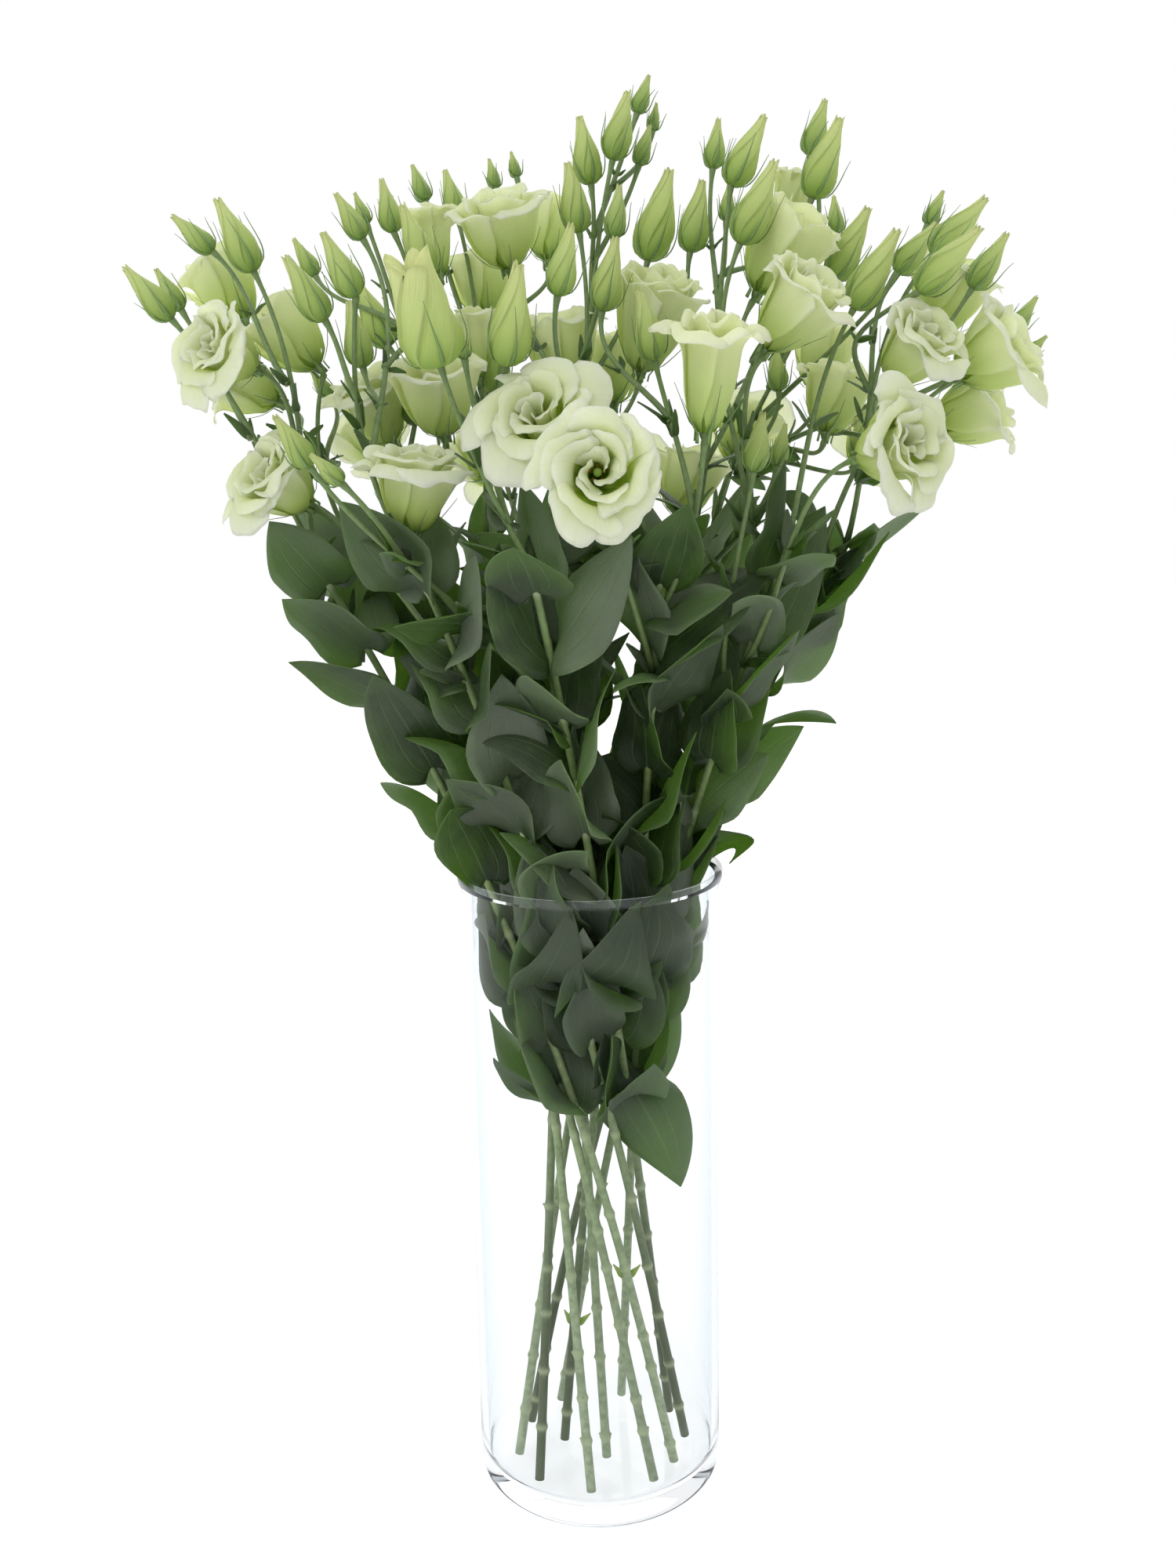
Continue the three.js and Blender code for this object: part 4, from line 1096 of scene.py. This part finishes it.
# Materials and light.
class Nodes:
    """The shader nodes of a material or a world. An input takes a number, a colour or another's output."""

    def __init__(self, owner):
        self.owner = owner
        owner.use_nodes = True
        self.tree = owner.node_tree
        self.tree.nodes.clear()

    def make(self, kind, inputs=None, **settings):
        node = self.tree.nodes.new("ShaderNode" + kind)
        for name, value in settings.items():
            setattr(node, name, value)
        for name, value in (inputs or {}).items():
            socket = node.inputs[name]
            if isinstance(value, bpy.types.NodeSocket):
                self.tree.links.new(value, socket)
            else:
                socket.default_value = (*value, 1) if socket.type == "RGBA" else value
        return node

    def finish(self, shader, kind="Material"):
        self.make("Output" + kind, {"Surface": shader.outputs[0]})
        return self.owner

    def number(self, attribute):
        return self.make("Attribute", attribute_name=attribute).outputs["Fac"]

    def math(self, operation, a, b=0.0):
        return self.make("Math", {0: a, 1: b}, operation=operation).outputs[0]

    def band(self, value, low, high, to_low=0.0, to_high=1.0):
        inputs = {"Value": value, "From Min": low, "From Max": high, "To Min": to_low, "To Max": to_high}
        return self.make("MapRange", inputs, interpolation_type="SMOOTHSTEP").outputs["Result"]

    def mix(self, share, a, b):
        return self.make("Mix", {"Factor": share, "A": a, "B": b}, data_type="RGBA").outputs["Result"]

    def ramp(self, value, stops):
        node = self.make("ValToRGB", {"Fac": value})
        elements = node.color_ramp.elements
        while len(elements) < len(stops):
            elements.new(0.5)
        for element, (place, colour) in zip(elements, stops):
            element.position = place
            element.color = (*colour, 1)
        return node.outputs["Color"]

    def place(self, x, y, z):
        return self.make("CombineXYZ", {0: x, 1: y, 2: z}).outputs[0]

    def where(self):
        return self.make("NewGeometry").outputs["Position"]

    def noise(self, where, scale, detail):
        return self.make("TexNoise", {"Vector": where, "Scale": scale, "Detail": detail}).outputs["Fac"]

    def cells(self, where, scale):
        inputs = {"Vector": where, "Scale": scale}
        return self.make("TexVoronoi", inputs, feature="DISTANCE_TO_EDGE").outputs["Distance"]

    def slant(self):
        return self.make("LayerWeight").outputs["Facing"]

    def bump(self, height, strength, distance):
        inputs = {"Height": height, "Strength": strength, "Distance": distance}
        return self.make("Bump", inputs).outputs["Normal"]

    def surface(self, colour, roughness, specular=0.4, bump=None, through=None, share=0.0):
        """A plant's surface. A share of the light goes through it, and takes another colour."""
        relief = {"Normal": bump} if bump else {}
        shader = self.make("BsdfPrincipled", {
            "Base Color": colour, "Roughness": roughness, "Specular IOR Level": specular, **relief})
        if through:
            glow = self.make("BsdfTranslucent", {"Color": through, **relief})
            shader = self.make("MixShader", {0: share, 1: shader.outputs[0], 2: glow.outputs[0]})
        return self.finish(shader)


def new_material(name):
    return Nodes(bpy.data.materials.new(name))


# The leaf's veins: how far aside each lies, and how wide it is, as shares of half the leaf's width.
VEINS = ((0.0, 0.05), (0.42, 0.03))


def leaf_material():
    n = new_material("leaf_green")
    along, across, tone = n.number("along"), n.number("across"), n.number("tone")
    aside = n.math("ABSOLUTE", across)
    lines = [n.band(n.math("ABSOLUTE", n.math("SUBTRACT", aside, middle)), 0.0, wide, 1.0, 0.0)
             for middle, wide in VEINS]
    veins = n.math("MAXIMUM", *lines)
    fine = n.noise(n.place(n.math("MULTIPLY", aside, 7), n.math("MULTIPLY", along, 2.5), tone), 3.0, 4)
    patches = n.noise(n.where(), 34.0, 3)
    body = n.mix(n.band(patches, 0.35, 0.68), (0.019, 0.032, 0.019), (0.056, 0.077, 0.044))
    # Partly each leaf's own random tone, partly painted grey sheen: leaves with a high tone are drawn
    # towards a pale grey.
    body = n.mix(n.band(tone, 0.4, 1.0, 0.0, 0.85), body, (0.225, 0.262, 0.205))
    bloomy = n.mix(n.band(fine, 0.45, 0.75, 0.0, 0.36), body, (0.185, 0.215, 0.165))
    pale = n.math("MULTIPLY", veins, n.band(along, 0.55, 1.0, 0.38, 0.1))
    veined = n.mix(pale, bloomy, (0.22, 0.29, 0.16))
    net = n.band(n.cells(n.where(), 620.0), 0.0, 0.14, 1.0, 0.0)
    netted = n.mix(n.math("MULTIPLY", net, 0.16), veined, (0.035, 0.055, 0.028))
    edged = n.mix(n.band(aside, 0.95, 1.0, 0.0, 0.3), netted, (0.26, 0.33, 0.19))
    height = n.math("ADD", n.math("MULTIPLY", veins, -0.6), n.math("MULTIPLY", fine, 0.5))
    height = n.math("ADD", height, n.math("MULTIPLY", net, -0.2))
    through = n.mix(n.math("MULTIPLY", veins, 0.4), (0.40, 0.60, 0.17), (0.52, 0.72, 0.28))
    return n.surface(edged, n.band(fine, 0.3, 0.7, 0.36, 0.52), specular=0.5,
                     bump=n.bump(height, 0.6, 0.0006), through=through, share=0.5)


def stem_material():
    """Paler and greyer low down, with dark streaks along some stems and pale knots at the joints."""
    n = new_material("stem_green")
    height, joint, tone = n.number("along"), n.number("across"), n.number("tone")
    streaks = n.noise(n.where(), 260.0, 3)
    body = n.ramp(height, [(0.0, (0.350, 0.425, 0.290)), (0.3, (0.285, 0.365, 0.205)),
                           (0.6, (0.225, 0.310, 0.115)), (1.0, (0.160, 0.240, 0.085))])
    shaded = n.mix(n.band(streaks, 0.3, 0.7, 0.0, 0.4), body, (0.070, 0.105, 0.045))
    low = n.math("MULTIPLY", n.band(height, 0.15, 0.5, 1.0, 0.0), n.band(tone, 0.2, 0.9, 0.0, 0.9))
    olive = n.mix(low, shaded, (0.062, 0.082, 0.040))
    knots = n.mix(n.math("MULTIPLY", joint, 0.7), olive, (0.36, 0.42, 0.25))
    return n.surface(knots, 0.5, bump=n.bump(streaks, 0.4, 0.0004))


def sepal_material():
    n = new_material("sepal_green")
    colour = n.ramp(n.number("along"), [(0, (0.15, 0.26, 0.07)), (1, (0.20, 0.29, 0.11))])
    return n.surface(colour, 0.5)


def bud_material():
    n = new_material("bud_green")
    along, across, size = n.number("along"), n.number("across"), n.number("tone")
    streak = n.noise(n.place(n.math("MULTIPLY", across, 6.0), n.math("MULTIPLY", along, 0.8), size), 4.0, 3)
    young = n.ramp(along, [(0, (0.15, 0.29, 0.06)), (0.35, (0.37, 0.51, 0.16)), (0.75, (0.54, 0.64, 0.27)),
                           (1, (0.64, 0.69, 0.33))])
    grown = n.ramp(along, [(0, (0.26, 0.41, 0.09)), (0.3, (0.50, 0.62, 0.20)), (0.7, (0.68, 0.76, 0.34)),
                           (1, (0.78, 0.80, 0.42))])
    body = n.mix(size, young, grown)
    streaked = n.mix(n.band(streak, 0.4, 0.7, 0.0, 0.28), body, (0.30, 0.44, 0.13))
    rim = n.mix(n.band(across, 0.86, 0.99, 0.0, 0.5), streaked, (0.70, 0.76, 0.42))
    through = n.mix(0.35, rim, (0.72, 0.84, 0.24))
    return n.surface(rim, 0.55, specular=0.3, bump=n.bump(streak, 0.35, 0.0006), through=through, share=0.4)


def petal_material():
    n = new_material("petal_cream")
    along, across, youth = n.number("along"), n.number("across"), n.number("tone")
    lines = n.noise(n.place(n.math("MULTIPLY", across, 9.0), n.math("MULTIPLY", along, 0.9), youth), 3.0, 4)
    open_colour = n.ramp(along, [(0, (0.42, 0.58, 0.08)), (0.28, (0.72, 0.82, 0.32)),
                                 (0.58, (0.85, 0.89, 0.64)), (1, (0.92, 0.93, 0.90))])
    young_colour = n.ramp(along, [(0, (0.40, 0.60, 0.10)), (0.18, (0.74, 0.85, 0.38)),
                                  (0.5, (0.90, 0.94, 0.66)), (1, (0.94, 0.95, 0.84))])
    body = n.mix(n.band(youth, 0.0, 1.0), open_colour, young_colour)
    veined = n.mix(n.band(lines, 0.45, 0.8, 0.0, 0.18), body, (0.68, 0.78, 0.38))
    through = n.mix(0.25, veined, (0.94, 0.98, 0.60))
    relief = n.bump(lines, 0.3, 0.0008)
    return n.surface(veined, 0.6, specular=0.25, bump=relief, through=through, share=0.64)


def heart_material():
    n = new_material("heart_gold")
    colour = n.ramp(n.number("along"), [(HEART_GREEN, (0.30, 0.42, 0.08)), (1, (0.42, 0.22, 0.03))])
    return n.surface(colour, 0.6)


def glass_material():
    """Clear in the middle of the wall and a little blue towards its sides, where one looks along it."""
    n = new_material("clear_glass")
    colour = n.mix(n.band(n.slant(), 0.4, 1.0), (0.92, 0.932, 0.945), (0.62, 0.73, 0.82))
    return n.finish(n.make("BsdfPrincipled", {
        "Base Color": colour, "Specular Tint": (0.04, 0.04, 0.05), "Roughness": 0.0, "IOR": 1.2,
        "Transmission Weight": 1.0}))


def rim_material():
    n = new_material("rim_glass")
    # Partly real gloss, partly painted reflection: a pale surface shows through, most where the lip is seen
    # edge-on, to draw the lip's bright reflected line.
    painted_reflection_alpha = n.band(n.slant(), 0.35, 1.0, 0.03, 0.5)
    return n.finish(n.make("BsdfPrincipled", {
        "Base Color": (0.88, 0.94, 0.97), "Roughness": 0.05, "Alpha": painted_reflection_alpha}))


def floor_material():
    n = new_material("pale_floor")
    return n.finish(n.make("BsdfPrincipled", {
        "Base Color": (0.80, 0.80, 0.80), "Roughness": 0.8, "Specular IOR Level": 0.1,
        "Emission Color": (1, 1, 1), "Emission Strength": FLOOR_GLOW}))


# The studio: a pale floor, light all round, and soft lamps.
FLOOR_SIZE = 12
FLOOR_DROP = 0.0005
FLOOR_GLOW = 0.26
CAMERA_PLACE = (0.0, -0.900, 0.607)
CAMERA_PITCH = 11.6
CAMERA_ROLL = -1.1
LENS = 37.8
SENSOR = 36.0
LAMPS = (("back_light", (0.5, 1.8, 1.9), 1.6, 18), ("front_light", (-1.2, -1.7, 2.0), 1.4, 18))
LAMPS_AIM = (0, 0, 0.5)
SKY_MEAN = 0.95
SKY_BACK = 0.3
SKY_LEVELS = (("Is Glossy Ray", 0.8), ("Is Transmission Ray", 0.97), ("Is Camera Ray", 1.0))


def light_sky(world):
    """White all round, a little stronger from behind the bouquet, and dim where glass mirrors it."""
    n = Nodes(world)
    away = n.make("SeparateXYZ", {0: n.make("TexCoord").outputs["Generated"]}).outputs["Y"]
    level = n.math("ADD", n.math("MULTIPLY", away, SKY_BACK), SKY_MEAN)
    path = n.make("LightPath").outputs
    for ray, own_level in SKY_LEVELS:
        others = n.math("MULTIPLY", n.math("SUBTRACT", 1.0, path[ray]), level)
        level = n.math("ADD", others, n.math("MULTIPLY", path[ray], own_level))
    n.finish(n.make("Background", {"Color": (1, 1, 1), "Strength": level}), "World")


def build_studio():
    scene = bpy.context.scene
    scene.world = bpy.data.worlds.new("studio")
    light_sky(scene.world)
    bpy.ops.mesh.primitive_plane_add(size=FLOOR_SIZE, location=(0, 0, -FLOOR_DROP))
    floor = bpy.context.object
    floor.name = "floor"
    floor.data.materials.append(floor_material())
    for name, place, size, watts in LAMPS:
        lamp = bpy.data.lights.new(name, "AREA")
        lamp.shape = "DISK"
        lamp.size = size
        lamp.energy = watts
        light = bpy.data.objects.new(name, lamp)
        light.location = place
        light.rotation_euler = (Vector(LAMPS_AIM) - Vector(place)).to_track_quat("-Z", "Y").to_euler()
        scene.collection.objects.link(light)
    camera = bpy.data.cameras.new("camera")
    camera.lens = LENS
    camera.sensor_width = SENSOR
    camera.sensor_fit = "AUTO"
    eye = bpy.data.objects.new("camera", camera)
    pitch = Matrix.Rotation(math.radians(90 - CAMERA_PITCH), 4, "X")
    roll = Matrix.Rotation(math.radians(CAMERA_ROLL), 4, "Z")
    eye.matrix_world = Matrix.Translation(CAMERA_PLACE) @ pitch @ roll
    scene.collection.objects.link(eye)
    scene.camera = eye
    scene.view_settings.view_transform = "Standard"


stems = read_bouquet()
looks = {"leaf": leaf_material(), "stem": stem_material(), "sepal": sepal_material(), "bud": bud_material()}
for index, stem in enumerate(stems):
    build_stem(index, stem, looks)
petal_looks = [petal_material(), heart_material()]
blooms = [head for stem in stems for head in stem["heads"] if head["width"]]
for index, head in enumerate(blooms):
    build_bloom(index, head, petal_looks)
build_vase([glass_material(), rim_material()])
build_studio()
